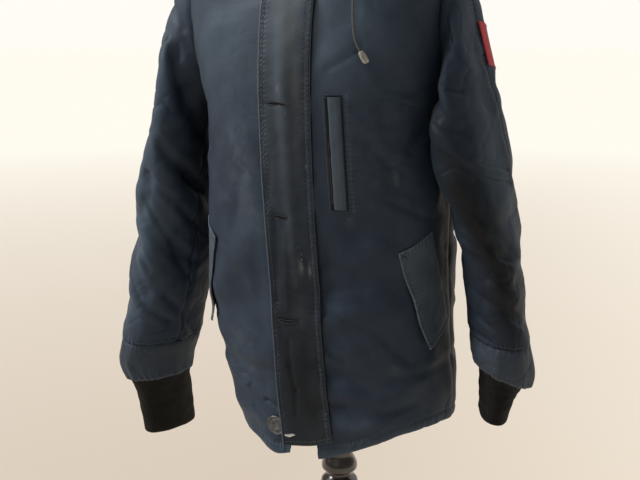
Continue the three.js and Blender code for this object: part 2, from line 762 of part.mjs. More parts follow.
// A solid turned round the Z axis from heights and radii.
function turned(profile, segments) {
  const points = [
    new THREE.Vector2(0, profile[0].height),
    ...profile.map((row) => new THREE.Vector2(row.radius, row.height)),
    new THREE.Vector2(0, profile[profile.length - 1].height),
  ];
  const lathe = new THREE.LatheGeometry(points, segments);
  lathe.rotateX(Math.PI / 2);
  return lathe;
}

const BASE_PROFILE = table("height radius", [
  [0, BASE_RADIUS - 3],
  [3, BASE_RADIUS],
  [BASE_THICKNESS - 8, BASE_RADIUS],
  [BASE_THICKNESS - 2, BASE_RADIUS - 6],
  [BASE_THICKNESS, BASE_RADIUS - 14],
]);

// The snap button's cap, seen from its back face outwards: a rim, a valley, a ring and a sunk middle.
const BUTTON_PROFILE = table("height radius", [
  [0, BUTTON_RADIUS - 2],
  [1.2, BUTTON_RADIUS],
  [3.2, BUTTON_RADIUS - 0.5],
  [3.8, BUTTON_RADIUS - 2],
  [2.6, BUTTON_RADIUS - 4],
  [2.6, BUTTON_RADIUS - 6],
  [3.6, BUTTON_RADIUS - 7.5],
  [3.4, BUTTON_RADIUS - 9],
  [2.2, BUTTON_RADIUS - 10.5],
]);

const EYELET_PROFILE = table("height radius", [
  [0, 6],
  [1.4, 6],
  [2, 5],
  [2, 3],
]);

function mesh(name, geometry, color, roughness, metalness = 0) {
  const made = new THREE.Mesh(geometry, new THREE.MeshStandardMaterial({ color, roughness, metalness }));
  made.name = name;
  return made;
}

// Stands a turned piece on a place of the body, its axis along the outward direction.
function seatOnBody(piece, angle, ring, lift) {
  const normal = bodyNormal(angle, ring);
  piece.quaternion.setFromUnitVectors(vector(0, 0, 1), normal);
  piece.position.copy(bodyPoint(angle, ring)).addScaledVector(normal, lift);
  return piece;
}

function seatedButton() {
  const ring = ringForHeight(-10, 47);
  const button = mesh("snap_button", turned(BUTTON_PROFILE, 18), 0x55585c, 0.4, 0.8);
  return seatOnBody(button, angleForX(-46, ring), ring, 0.8);
}

// The eyelet sits on the collar's outer face; the cord starts just in front of it.
function seatedEyelet() {
  const eyelet = mesh("cord_eyelet", turned(EYELET_PROFILE, 12), 0x6a6a68, 0.45, 0.7);
  const angle = 40;
  const away = vector(Math.sin(radians(angle)), -Math.cos(radians(angle)), 0);
  eyelet.quaternion.setFromUnitVectors(vector(0, 0, 1), away);
  eyelet.position.copy(bodyPoint(angle, 12, false)).addScaledVector(away, 0.5);
  eyelet.position.z += 12;
  return eyelet;
}

const cordPoints = () => CORD_ROUTE.map((at) => vector(at.x, at.y, at.z));

function drawcord() {
  const curve = new THREE.CatmullRomCurve3(cordPoints(), false, "centripetal");
  const section = new THREE.Shape(
    Array.from({ length: 8 }, (_, i) => {
      const turn = (Math.PI * i) / 4;
      return new THREE.Vector2(CORD_RADIUS * Math.cos(turn), CORD_RADIUS * Math.sin(turn));
    }),
  );
  return new THREE.ExtrudeGeometry(section, { steps: 20, extrudePath: curve, bevelEnabled: false });
}

// The cord's end: a flattened barrel that narrows to its nose, in line with the cord.
function cordEnd() {
  const points = cordPoints();
  const tip = points[points.length - 1];
  const along = vector(CORD_END.down.x, CORD_END.down.y, CORD_END.down.z).normalize();
  const flatWay = vector(0.42, -0.9, 0).cross(along).normalize();
  const outline = [
    { along: 0, wide: 0.62 },
    { along: 0.16, wide: 0.92 },
    { along: 0.45, wide: 1 },
    { along: 0.8, wide: 0.96 },
    { along: 1, wide: 0.7 },
  ];
  const rings = outline.map((row) =>
    Array.from({ length: 10 }, (_, i) => {
      const turn = (2 * Math.PI * i) / 10;
      const x = (CORD_END.wide / 2) * row.wide * Math.cos(turn);
      const y = (CORD_END.thick / 2) * row.wide * Math.sin(turn);
      return vector(x, y, row.along * CORD_END.length);
    }),
  );
  const made = mesh("cord_end", loft(rings), 0x8d877c, 0.5);
  const thinWay = along.clone().cross(flatWay);
  made.quaternion.setFromRotationMatrix(new THREE.Matrix4().makeBasis(flatWay, thinWay, along));
  made.position.copy(tip).addScaledVector(along, SEAM_GAP);
  return made;
}

const NAVY = 0x2b3442;
const RIB = 0x1b1714;
const WOOD = 0x241a15;

const sleeves = {
  right: new Sleeve(-1, SLEEVE_RIGHT, FOLDS_RIGHT, 0.85, 80),
  left: new Sleeve(1, SLEEVE_LEFT, FOLDS_LEFT, 1.9, 54),
};
const cuffs = { right: CUFF_RIGHT, left: CUFF_LEFT };

const jacket = new THREE.Group();
jacket.add(
  mesh("front_right", frontPanel(-1), NAVY, 0.8),
  mesh("front_left", frontPanel(1), NAVY, 0.8),
  mesh("back", backPanel(), NAVY, 0.8),
  mesh("storm_flap", stormFlap(), NAVY, 0.8),
  mesh("collar", collar(), NAVY, 0.8),
  mesh("chest_pocket_welt", chestWelt(), NAVY, 0.8),
  mesh("sleeve_patch", sleevePatch(sleeves.left), 0xb0202c, 0.8),
  seatedButton(),
  seatedEyelet(),
  mesh("drawcord", drawcord(), 0x8d877c, 0.8),
  cordEnd(),
);
for (const [name, sleeve] of Object.entries(sleeves)) {
  jacket.add(
    mesh("sleeve_front_" + name, sleevePanel(sleeve, armpitSeam(0), outerSeam), NAVY, 0.8),
    mesh("sleeve_back_" + name, sleevePanel(sleeve, outerSeam, armpitSeam(360)), NAVY, 0.8),
    mesh("sleeve_band_" + name, sleeveBand(sleeve), NAVY, 0.8),
    mesh("cuff_" + name, ribCuff(sleeve, cuffs[name]), RIB, 0.95),
    mesh("pocket_flap_" + name, pocketFlap(sleeve.side), NAVY, 0.8),
  );
}

const stand = new THREE.Group();
stand.add(
  mesh("dress_form", dressForm(), 0xcfc6b4, 0.9),
  mesh("stand_pole", turned(POLE, 16), WOOD, 0.35),
  mesh("stand_base", turned(BASE_PROFILE, 32), WOOD, 0.4),
);

const part = new THREE.Group();
part.add(jacket, stand);

export default part;
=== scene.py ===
"""Looks for a worn padded parka on a limbless dress form with a turned stand.

Shapes are worked out in millimetres in the part's frame, where X points to the wearer's left, Y to the
back and Z up from the floor, and become metres when a piece is made.
"""

import json
import logging
import math
from collections.abc import Callable
from dataclasses import dataclass, field
from enum import Enum

import bpy
import numpy as np
from bpy.types import Material, Node, NodeSocket, NodeTree, Object
from mathutils import Matrix, Vector
from numpy import ndarray as Array

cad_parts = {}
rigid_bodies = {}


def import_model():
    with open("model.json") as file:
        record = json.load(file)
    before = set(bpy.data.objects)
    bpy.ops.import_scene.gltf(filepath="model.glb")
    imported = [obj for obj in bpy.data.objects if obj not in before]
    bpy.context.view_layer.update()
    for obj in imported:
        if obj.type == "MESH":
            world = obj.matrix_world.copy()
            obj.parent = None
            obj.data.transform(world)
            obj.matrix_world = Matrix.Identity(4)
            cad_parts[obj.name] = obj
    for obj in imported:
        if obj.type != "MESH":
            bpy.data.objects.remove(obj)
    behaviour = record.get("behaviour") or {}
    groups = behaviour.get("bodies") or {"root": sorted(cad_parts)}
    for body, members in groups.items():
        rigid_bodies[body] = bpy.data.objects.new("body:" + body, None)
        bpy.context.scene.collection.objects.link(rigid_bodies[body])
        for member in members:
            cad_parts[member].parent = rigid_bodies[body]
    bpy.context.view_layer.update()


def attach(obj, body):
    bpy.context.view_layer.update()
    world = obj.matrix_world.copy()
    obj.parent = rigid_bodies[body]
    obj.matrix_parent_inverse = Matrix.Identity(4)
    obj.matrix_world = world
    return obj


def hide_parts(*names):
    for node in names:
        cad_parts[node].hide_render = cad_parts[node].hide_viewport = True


LOG = logging.getLogger("parka")
ROOT = "root"
MILLIMETRE = 0.001
HEM_ABOVE_FLOOR = 660.0
WALL = 2.4
SEAM_GAP = 0.35
CLEARANCE = 0.6


def numbers(text: str) -> Array:
    """Reads rows of numbers, apart by semicolons."""
    return np.array([row.split() for row in text.split(";")], float)


class Table:
    """Smooth values between rows of numbers with named columns, as in the part's source."""

    def __init__(self, columns: str, rows: str | Array) -> None:
        """Takes the columns' names, apart by spaces, and the rows of numbers, also as text."""
        self.names = columns.split()
        self.rows = numbers(rows) if isinstance(rows, str) else rows

    def column(self, name: str) -> Array:
        """Returns the numbers of one column."""
        return self.rows[:, self.names.index(name)]

    def value(self, by: str, at: Array | float, name: str) -> Array:
        """Gives a column's smooth value where another column has a value.

        Args:
            by: The column that rises from row to row.
            at: Its values.
            name: The column to read.

        Returns:
            The values, as many as in at.
        """
        xs, ys = self.column(by), self.column(name)
        last = len(xs) - 1
        steps = np.arange(last + 1)
        before, after = np.maximum(steps - 1, 0), np.minimum(steps + 1, last)
        slope = (ys[after] - ys[before]) / (xs[after] - xs[before])
        i = np.clip(np.searchsorted(xs[1:], at, side="left"), 0, last - 1)
        width = xs[i + 1] - xs[i]
        t = np.clip((at - xs[i]) / width, 0, 1)
        ease = t * t * (3 - 2 * t)
        ends = t * (1 - t) ** 2 * width * slope[i] - t * t * (1 - t) * width * slope[i + 1]
        return ys[i] + ease * (ys[i + 1] - ys[i]) + ends

    def row(self, by: str, at: Array | float) -> dict[str, Array]:
        """Gives every column's value, by name, where one column has a value."""
        return {name: self.value(by, at, name) for name in self.names}


BODY = Table("ring at_front at_side at_back middle_x middle_y right left front back square", """
    0 0 0 0 -2 -18 138 194 132 126 2.3; 1 62 62 62 -3 -18 160 197 136 128 2.3;
    2 120 120 120 -4 -19 179 197 140 130 2.35; 3 200 200 200 -5 -20 192 193 144 132 2.4;
    4 280 280 280 -6 -20 193 191 147 134 2.4; 5 360 360 360 -9 -21 189 193 150 134 2.4;
    6 450 450 450 -13 -22 184 192 153 132 2.45; 7 530 530 530 -15 -23 185 191 154 128 2.5;
    8 594 624 604 -16 -22 198 199 154 124 2.5; 9 640 694 668 -17 -19 206 205 152 114 2.4;
    10 674 737 718 -18 -15 205 202 146 99 2.3; 11 698 760 760 -18 -13 142 142 124 82 2.2;
    12 712 778 784 -18 -13 82 82 92 75 2.1
""")
HEM_LINE = Table("angle lift", """
    -180 8; -120 16; -75 26; -45 10; -22 -7; -8 0; 8 -3; 25 9; 42 27; 58 44; 85 46; 130 22; 180 8
""")
FRONT_OPENING = Table("height flap_x edge_x half_gap", """
    0 9 -2 24; 40 6 -1 21; 150 -2 -3 13; 270 -7 -7 7; 400 -13 -12 3; 540 -16 -15 2; 720 -15 -15 2
""")
FOLD_COLUMNS = "from_across from_height to_across to_height width depth"
BODY_FOLDS = Table(FOLD_COLUMNS, """
    14 152 44 118 24 -6; 14 84 50 88 22 -5; 16 268 48 286 34 -5; 18 222 52 240 26 4; 40 60 66 150 34 4;
    64 500 34 360 40 -6; 52 560 30 640 30 -5; 74 420 58 350 26 5; -66 520 -40 380 36 -5;
    -30 330 -52 250 40 5; -74 150 -28 108 30 -6; -60 200 -34 232 34 -4; -84 66 -36 52 30 5;
    -96 90 -150 130 40 -9; 112 500 148 390 44 -7; -112 505 -150 370 42 -7; 128 600 168 560 44 -5;
    -126 610 -166 572 40 -5; 118 300 172 262 44 6; -172 230 -120 196 40 6; 140 60 150 210 44 -6
""")
BODY_CREASES = Table(FOLD_COLUMNS, """
    16 179 27 161 8 -2.4; 15 92 27 88 6 -2; 17 312 33 296 13 -1.6; 20 262 41 268 12 1.3;
    17 236 38 214 11 -1.8; 44 205 58 160 11 -1.6; 30 140 52 116 10 1.4; 36 70 60 92 10 -1.5;
    22 580 36 608 8 -2.2; 40 480 54 440 12 -1.6; 50 400 66 372 9 -1.4; 30 360 52 344 12 -1.2;
    60 470 74 520 13 -2.6; 58 548 74 560 10 -2; -54 158 -38 128 9 -2; -60 126 -40 96 9 1.4;
    -25 80 -17 72 6 -2.6; -34 62 -22 34 9 -1.6; -22 30 -12 8 8 -2.2; -50 300 -34 268 13 -1.4;
    -62 470 -46 400 13 -1.8; -28 430 -40 340 15 -1.2; -70 570 -56 520 12 -2.4; -66 440 -52 480 11 1.4;
    96 420 124 372 12 -2.2; 100 330 140 312 13 -1.8; 104 220 150 182 13 1.8; 110 130 146 96 12 -2;
    156 470 172 360 16 -1.6; -176 420 -160 330 15 1.5; -100 430 -128 384 12 -2.2;
    -104 300 -140 330 13 -1.8; -110 210 -160 246 14 1.8; -100 120 -140 92 12 -2;
    164 150 -164 120 14 -1.6
""")
SLEEVE_COLUMNS = "row height x y thin deep turn drop"
SLEEVE_RIGHT = Table(SLEEVE_COLUMNS, """
    0 470 -258 -22 45 82 15 0.1; 1 384 -275 -26 48 80 18 0; 2 300 -283 -28 51 80 22 0;
    3 223 -296 -31 50 79 22 0; 4 170 -306 -33 48 76 22 -0.05; 5 122 -315 -35 46 74 22 -0.1;
    6 82 -324 -37 45 72 22 0; 7 49 -320 -38 39 61 22 0.1
""")
SLEEVE_LEFT = Table(SLEEVE_COLUMNS, """
    0 470 217 -58 43 86 -16 0.1; 1 426 229 -56 43 83 -14 0; 2 362 243 -50 43 81 -2 0;
    3 296 253 -45 43 79 16 0; 4 240 259 -42 42 78 20 0; 5 196 266 -41 43 76 18 0.1;
    6 164 272 -42 47 74 14 0.25; 7 144 274 -44 45 65 12 0.4
""")
FOLDS_RIGHT = Table(FOLD_COLUMNS, """
    176 690 120 500 34 -9; 130 660 84 600 24 -6; 158 400 112 350 22 -3; 170 350 96 290 22 -5;
    84 392 24 310 24 -9; 90 345 20 270 22 -8; 128 300 62 215 24 -7; 170 250 110 190 26 -5;
    200 420 290 330 30 -7; 214 300 300 240 28 -7; 236 620 290 540 34 -7
""")
FOLDS_LEFT = Table(FOLD_COLUMNS, """
    96 610 150 560 26 -6; 66 545 130 500 24 -7; 56 480 120 440 26 -5; 40 392 130 330 26 -7;
    50 330 140 290 22 -6; 60 262 150 232 24 -6; 220 430 300 340 30 -7; 210 310 300 250 28 -7;
    240 620 290 540 34 -6
""")
CREASES_RIGHT = Table(FOLD_COLUMNS, """
    142 674 84 634 10 -4.5; 84 600 44 520 18 -6.5; 46 540 8 470 18 -6; 66 454 4 387 13 -6;
    20 400 -24 364 13 -5.5; 92 410 38 370 12 -4.2; 28 420 -32 336 12 -4.5; 86 367 46 322 11 -3.8;
    24 350 -18 297 12 -5; 60 330 -2 258 11 -4.4; 34 292 6 237 9 -3.2; 96 300 60 250 10 -2.4;
    110 250 74 205 10 -2.2; 60 190 20 160 9 -3; 30 205 -26 126 11 -4; 210 380 270 330 10 -3;
    200 270 260 222 9 -2.8; 220 200 280 172 9 -2.4; 216 560 262 500 12 -3; 290 420 330 372 10 -2.8
""")
CREASES_LEFT = Table(FOLD_COLUMNS, """
    150 458 190 442 6 -2.4; 146 440 186 424 6 -2.4; 120 330 176 300 9 -3.2; 88 640 120 620 7 -3;
    100 560 140 552 7 -3.6; 80 516 126 498 9 -2.6; 92 470 140 446 10 -2.2; 30 372 84 340 9 -2.6;
    20 280 70 262 8 -2.4; 10 246 64 226 8 -3; 18 212 60 204 7 -3.4; 70 300 128 286 9 -2;
    96 250 140 222 9 -2; 120 380 150 330 10 -1.8; 210 380 270 330 10 -3; 200 270 260 230 9 -2.8;
    220 560 262 500 12 -3; 290 420 330 372 10 -2.8
""")
CUFF_RIGHT = Table(SLEEVE_COLUMNS, """
    0 38 -318 -37 30 53 22 0.1; 1 4 -313 -35 27 51 22 0.05; 2 -48 -308 -33 25 49 22 0.05
""")
CUFF_LEFT = Table(SLEEVE_COLUMNS, """
    0 134 272 -45 31 51 12 0.4; 1 108 267 -45 25 50 14 0.3; 2 71 262 -46 20 46 16 0.2
""")
FORM = Table("row height x y across deep", """
    0 92 -1 -14 128 88; 1 104 -1 -14 138 98; 2 190 -3 -14 146 104; 3 300 -8 -14 128 94;
    4 400 -12 -15 132 98; 5 500 -15 -17 152 108; 6 580 -16 -17 166 110; 7 640 -17 -16 172 100
""")
NECK = Table("height x y radius", "800 -18 -8 60; 838 -18 -6 57; 846 -18 -6 52")
POLE = Table("height radius", """
    24.4 62; 34 60; 44 46; 60 34; 96 27; 112 33; 124 33; 140 24; 250 21; 360 25; 430 31; 470 33; 500 26;
    510 24; 520 27; 536 31; 552 30; 561 21; 566 21; 572 29; 579 30; 586 28; 600 22; 700 20; 751.6 20
""")
CORD_ROUTE = numbers("""
    40.9 -83.2 1411.3; 44.6 -87.6 1411; 50 -95 1407.5; 57 -107 1400; 64.8 -122 1387.8;
    72.2 -138.2 1373.2; 75.8 -152.6 1357.4; 77 -159.6 1343; 76.8 -162.4 1330; 76.9 -163.4 1317.7;
    77.1 -163.7 1307.4; 78.7 -163.9 1289.4; 81.7 -164.2 1276.5; 87.9 -164.2 1264.8
""")


def smooth_step(value: Array, low: float, high: float) -> Array:
    """Rises softly from 0 at low to 1 at high."""
    t = np.clip((value - low) / (high - low), 0, 1)
    return t * t * (3 - 2 * t)


def bell(value: Array, middle: float, width: float) -> Array:
    """A soft hump that is 1 at its middle."""
    return np.exp(-(((value - middle) / width) ** 2))


def unit(vectors: Array) -> Array:
    """Returns vectors with their lengths made 1."""
    return vectors / np.linalg.norm(vectors, axis=-1, keepdims=True)


def above_hem(points: Array) -> Array:
    """Returns the heights of points above the hem."""
    return points[..., 2] - HEM_ABOVE_FLOOR


def way_along(line: Array) -> Array:
    """Returns each point's way along a line."""
    return np.concatenate([[0], np.cumsum(np.linalg.norm(np.diff(line, axis=0), axis=1))])


def round_angles(count: int) -> Array:
    """Gives angles evenly spaced round a circle."""
    return np.linspace(0, 360, count, endpoint=False)


def signed(angle: Array) -> Array:
    """Returns angles up to 360 degrees as angles from -180 to 180."""
    return np.where(angle > 180, angle - 360, angle)


def behind(points: Array, by: float) -> Array:
    """Returns points moved straight back."""
    return points + np.array([0.0, by, 0.0])


def halved(low: float, high: float, shape: tuple, less: Callable) -> Array:
    """Halves a range until it closes in on the value where a test turns false.

    Args:
        low: Lower end of the range.
        high: Upper end.
        shape: How many values are searched at once.
        less: The test, true below the value.

    Returns:
        The values.
    """
    lows, highs = np.full(shape, float(low)), np.full(shape, float(high))
    for _ in range(20):
        middle = (lows + highs) / 2
        below = less(middle)
        lows, highs = np.where(below, middle, lows), np.where(below, highs, middle)
    return (lows + highs) / 2
def fold_depth(folds: Table, across: Array, height: Array, degree: float) -> Array:
    """Adds up the folds of a table at places on the cloth.

    Args:
        folds: Folds between two places, with width and depth.
        across: Angle of each place.
        height: Height of each place above the hem.
        degree: How many millimetres one degree is wide.

    Returns:
        How far the cloth stands out there, below 0 in a trough.
    """
    depth = np.zeros(np.broadcast(across, height).shape)
    for from_across, from_height, to_across, to_height, width, deep in folds.rows:
        run_across, run_up = (to_across - from_across) * degree, to_height - from_height
        aside_across, aside_up = (across - from_across) * degree, height - from_height
        length = math.hypot(run_across, run_up)
        along = (aside_across * run_across + aside_up * run_up) / length
        aside = (aside_across * run_up - aside_up * run_across) / length
        past = np.maximum(np.maximum(-along, along - length), 0)
        depth += deep * np.exp(-2.5 * (aside**2 + (past * 0.8) ** 2) / width**2)
    return depth


def soft_noise(points: Array, wave: float, seed: int, stretch: tuple = (1, 1, 1)) -> Array:
    """Gives a smooth random value about 0 for points in space, the same ones in each run.

    Args:
        points: Points in millimetres.
        wave: Usual distance from crest to crest.
        seed: Which pattern it is.
        stretch: How much longer the pattern is along X, Y and Z.

    Returns:
        The values, mostly between -1 and 1.
    """
    chance = np.random.default_rng(seed)
    total = np.zeros(points.shape[:-1])
    for _ in range(9):
        way = chance.normal(size=3)
        way /= np.linalg.norm(way) * wave / chance.uniform(0.7, 1.4)
        total += np.sin(2 * math.pi * (points / stretch) @ way + chance.uniform(0, 2 * math.pi))
    return total / 3


class BodyForm:
    """The outer surface of the jacket's body, by angle round it and ring up it."""

    degree = 2.9
    armhole_front = 18
    armhole_behind = 19

    def point(self, angle: Array, ring: Array, folded: bool = True) -> Array:
        """Gives points of the surface.

        Args:
            angle: Degrees from the front towards the wearer's left.
            ring: Row in the body's table, 0 at the hem and 12 at the neck.
            folded: Whether it has the main folds.

        Returns:
            The points.
        """
        angle, ring = np.broadcast_arrays(np.asarray(angle, float), np.asarray(ring, float))
        angle = signed(angle)
        row = BODY.row("ring", ring)
        sine, cosine = np.sin(np.radians(angle)), np.cos(np.radians(angle))
        across = np.where(sine < 0, row["right"], row["left"])
        deep = np.where(cosine < 0, row["back"], row["front"])
        share = np.abs(sine / across) ** row["square"] + np.abs(cosine / deep) ** row["square"]
        turned = sine * sine
        middle = np.where(cosine < 0, row["at_back"], row["at_front"])
        hem = HEM_LINE.value("angle", angle, "lift") * np.maximum(0, 1 - ring / 2.5) ** 1.5
        height = row["at_side"] * turned + middle * (1 - turned) + hem
        reach = share ** (-1 / row["square"])
        if folded:
            reach = reach + np.clip((11 - ring) / 2, 0, 1) * self.folds(BODY_FOLDS, angle, height)
        x = row["middle_x"] + reach * sine
        y = row["middle_y"] - reach * cosine
        return np.stack([x, y, HEM_ABOVE_FLOOR + height], axis=-1)

    def folds(self, table: Table, angle: Array, height: Array) -> Array:
        """Adds up folds at angles from -180 to 180, also across the middle of the back."""
        other = np.where(angle > 0, angle - 360, angle + 360)
        return fold_depth(table, angle, height, self.degree) + fold_depth(table, other, height, self.degree)

    def normal(self, angle: Array, ring: Array) -> Array:
        """Gives the outward directions of the surface at places on it.

        Args:
            angle: Degrees from the front towards the wearer's left.
            ring: Row in the body's table.

        Returns:
            Directions of length one.
        """
        angle, ring = np.broadcast_arrays(np.asarray(angle, float), np.asarray(ring, float))
        across = self.point(angle + 0.6, ring) - self.point(angle - 0.6, ring)
        up = self.point(angle, np.minimum(ring + 0.03, 12)) - self.point(angle, np.maximum(ring - 0.03, 0))
        return unit(np.cross(across, up))

    def over(self, angle: Array, ring: Array, lift: Array | float) -> Array:
        """Gives points at a height over the surface."""
        return self.point(angle, ring) + self.normal(angle, ring) * np.asarray(lift)[..., None]

    def front_height(self, ring: Array) -> Array:
        """Gives a ring's height above the hem in the middle of the front."""
        return above_hem(self.point(0, ring, False))

    def angle_for_x(self, x: Array, ring: Array) -> Array:
        """Finds the angle in front at which a ring has an X."""
        x, ring = np.broadcast_arrays(np.asarray(x, float), np.asarray(ring, float))
        return halved(-75, 75, x.shape, lambda angle: self.point(angle, ring, False)[..., 0] < x)

    def ring_for_height(self, angle: Array, height: Array) -> Array:
        """Finds the ring that passes a height at an angle."""
        angle, height = np.broadcast_arrays(np.asarray(angle, float), np.asarray(height, float))
        return halved(0, 12, angle.shape, lambda ring: above_hem(self.point(angle, ring, False)) < height)

    def armhole(self, ring: Array, behind: bool) -> Array:
        """Gives half the armhole's angle at a ring, before the side line or behind it."""
        t = np.clip((ring - 8.5) / 1.5, -1, 1)
        return (self.armhole_behind if behind else self.armhole_front) * np.sqrt(1 - t * t)

    def front_edge(self, ring: Array, side: int) -> Array:
        """Gives the angle of a front's edge under the flap, side 1 being the wearer's left."""
        opening = FRONT_OPENING.row("height", self.front_height(ring))
        return self.angle_for_x(opening["edge_x"] + side * opening["half_gap"], ring)

    def rings(self, below: int, armhole: int, shoulder: int) -> Array:
        """Gives the rows of rings of a panel: even below the armpit, by angle round the armhole."""
        return np.concatenate(
            [
                7 * np.arange(below) / below,
                8.5 - 1.5 * np.cos(math.pi * np.arange(armhole) / armhole),
                10 + 2 * np.arange(shoulder + 1) / shoulder,
            ]
        )


class SleeveForm:
    """The outer surface of one sleeve, by turn round it and place down it."""

    degree = 1.15
    off_body = 5.0

    def __init__(self, side: int, body: BodyForm) -> None:
        """Takes the tables of one side.

        Args:
            side: 1 for the wearer's left and -1 for the right.
            body: The body that the sleeve is sewn to and lies along.
        """
        self.side = side
        self.body = body
        left = side > 0
        self.sections = SLEEVE_LEFT if left else SLEEVE_RIGHT
        self.folds = FOLDS_LEFT if left else FOLDS_RIGHT
        self.creases = CREASES_LEFT if left else CREASES_RIGHT
        self.cap_fall, self.cap_reach = (1.9, 54) if left else (0.85, 80)

    def tube(self, turn: Array, row: Array, sections: Table | None = None) -> Array:
        """Gives points of the plain tube below the cap.

        Args:
            turn: 0 at the body, 90 in front and 180 outside.
            row: Place in the table of sections.
            sections: Another table, for a cuff.

        Returns:
            The points in millimetres.
        """
        at = (sections or self.sections).row("row", row)
        swing = np.radians(at["turn"])
        outwards, forwards = -np.cos(np.radians(turn)), np.sin(np.radians(turn))
        scale = (np.abs(outwards) ** 2.2 + np.abs(forwards) ** 2.2) ** (-1 / 2.2)
        thin, deep = outwards * scale * at["thin"], forwards * scale * at["deep"]
        across = thin * np.cos(swing) + deep * np.sin(swing)
        back = thin * np.sin(swing) - deep * np.cos(swing)
        z = HEM_ABOVE_FLOOR + at["height"] - at["drop"] * thin
        return np.stack([at["x"] + self.side * across, at["y"] + back, z], axis=-1)

    def armhole(self, turn: Array) -> Array:
        """Gives points of the seam round the armhole, just outside the body's edge.

        Args:
            turn: Degrees round it, 0 at the armpit and 90 in front.

        Returns:
            The points.
        """
        sine, cosine = np.sin(np.radians(turn)), np.cos(np.radians(turn))
        half = np.where(sine > 0, self.body.armhole_front, self.body.armhole_behind)
        high = (1 - cosine) / 2
        seam = self.body.point(self.side * (90 - half * sine), 8.5 - 1.5 * cosine)
        seam[..., 0] += self.side * SEAM_GAP * (1.5 + 3 * high * high)
        return seam

    def point(self, turn: Array, place: Array) -> Array:
        """Gives points of the sleeve.

        Args:
            turn: Degrees round it.
            place: 0 at the armhole seam, 1 at the first section, then a row for each one.

        Returns:
            The points in millimetres.
        """
        turn, place = np.broadcast_arrays(np.asarray(turn, float), np.asarray(place, float))
        turn = np.mod(turn, 360)
        tube = self.tube(turn, np.maximum(place - 1, 0))
        high = ((1 - np.cos(np.radians(turn))) / 2)[..., None]
        fall = 0.25 + (self.cap_fall - 0.25) * high
        out = unit(np.concatenate([np.full_like(high, self.side), np.zeros_like(high), -fall], axis=-1))
        start, end = self.armhole(turn), self.tube(turn, np.zeros_like(turn))
        down = unit(self.tube(turn, np.full_like(turn, 0.15)) - end)
        first = start + out * (9 + (self.cap_reach - 9) * high)
        second = end - down * (14 + 91 * high)
        t = np.clip(place, 0, 1)[..., None]
        cap = (1 - t) ** 3 * start + 3 * t * (1 - t) ** 2 * first + 3 * t * t * (1 - t) * second + t**3 * end
        return self.shaped(np.where(place[..., None] >= 1, tube, cap), turn, place)

    def shaped(self, points: Array, turn: Array, place: Array) -> Array:
        """Puts the main folds in and keeps the points off the body.

        Args:
            points: Points of the plain sleeve.
            turn: Their degrees round it, from 0 to 360.
            place: Their places down it.

        Returns:
            The moved points.
        """
        row = np.maximum(place - 1, 0)
        centre = [self.sections.value("row", row, axis) for axis in "xy"]
        away = unit(points[..., :2] - np.stack(centre, axis=-1))
        fold = np.clip(place * 2.5, 0, 1) * fold_depth(self.folds, turn, above_hem(points), self.degree)
        moved = points.copy()
        moved[..., :2] += away * fold[..., None]
        return self.kept_off(moved, np.clip(place * 2, 0, 1))

    def kept_off(self, points: Array, strength: Array) -> Array:
        """Moves points softly out of the body's way.

        Args:
            points: Points of the sleeve.
            strength: 0 at the seam to 1 down the arm.

        Returns:
            The moved points.
        """
        height = above_hem(points)
        ring = np.interp(height, BODY.column("at_side"), BODY.column("ring"))
        middle_x, middle_y = BODY.value("ring", ring, "middle_x"), BODY.value("ring", ring, "middle_y")
        aside, ahead = points[..., 0] - middle_x, points[..., 1] - middle_y
        angle = np.arctan2(aside, -ahead)
        wall = self.body.point(np.degrees(angle), ring)
        reach = np.hypot(aside, ahead)
        soft = self.off_body * strength
        limit = np.hypot(wall[..., 0] - middle_x, wall[..., 1] - middle_y) + soft
        beyond = reach - limit
        kept = limit + (beyond + np.hypot(beyond, soft)) / 2
        use = (strength > 0) & (height <= 700)
        moved = points.copy()
        moved[..., 0] = np.where(use, middle_x + np.sin(angle) * kept, points[..., 0])
        moved[..., 1] = np.where(use, middle_y - np.cos(angle) * kept, points[..., 1])
        return moved

    def outer_seam(self, place: Array) -> Array:
        """Gives the turn of the outer seam at a place."""
        return 170 + 36 * smooth_step(np.asarray(place, float), 0.1, 1)

    def centre(self, place: Array) -> Array:
        """Gives points on the sleeve's middle line.

        Args:
            place: Places down the sleeve, 0 at the seam.

        Returns:
            The points.
        """
        row = np.maximum(np.asarray(place, float) - 1, 0)
        at = self.sections.row("row", row)
        shoulder = np.where(np.asarray(place) < 1, 1 - np.asarray(place, float), 0)
        x = at["x"] - self.side * 40 * shoulder
        return np.stack([x, at["y"], HEM_ABOVE_FLOOR + at["height"] + 180 * shoulder], axis=-1)


class Side(Enum):
    """The four edges of a sheet's grid."""

    START = "start"
    END = "end"
    LOW = "low"
    HIGH = "high"


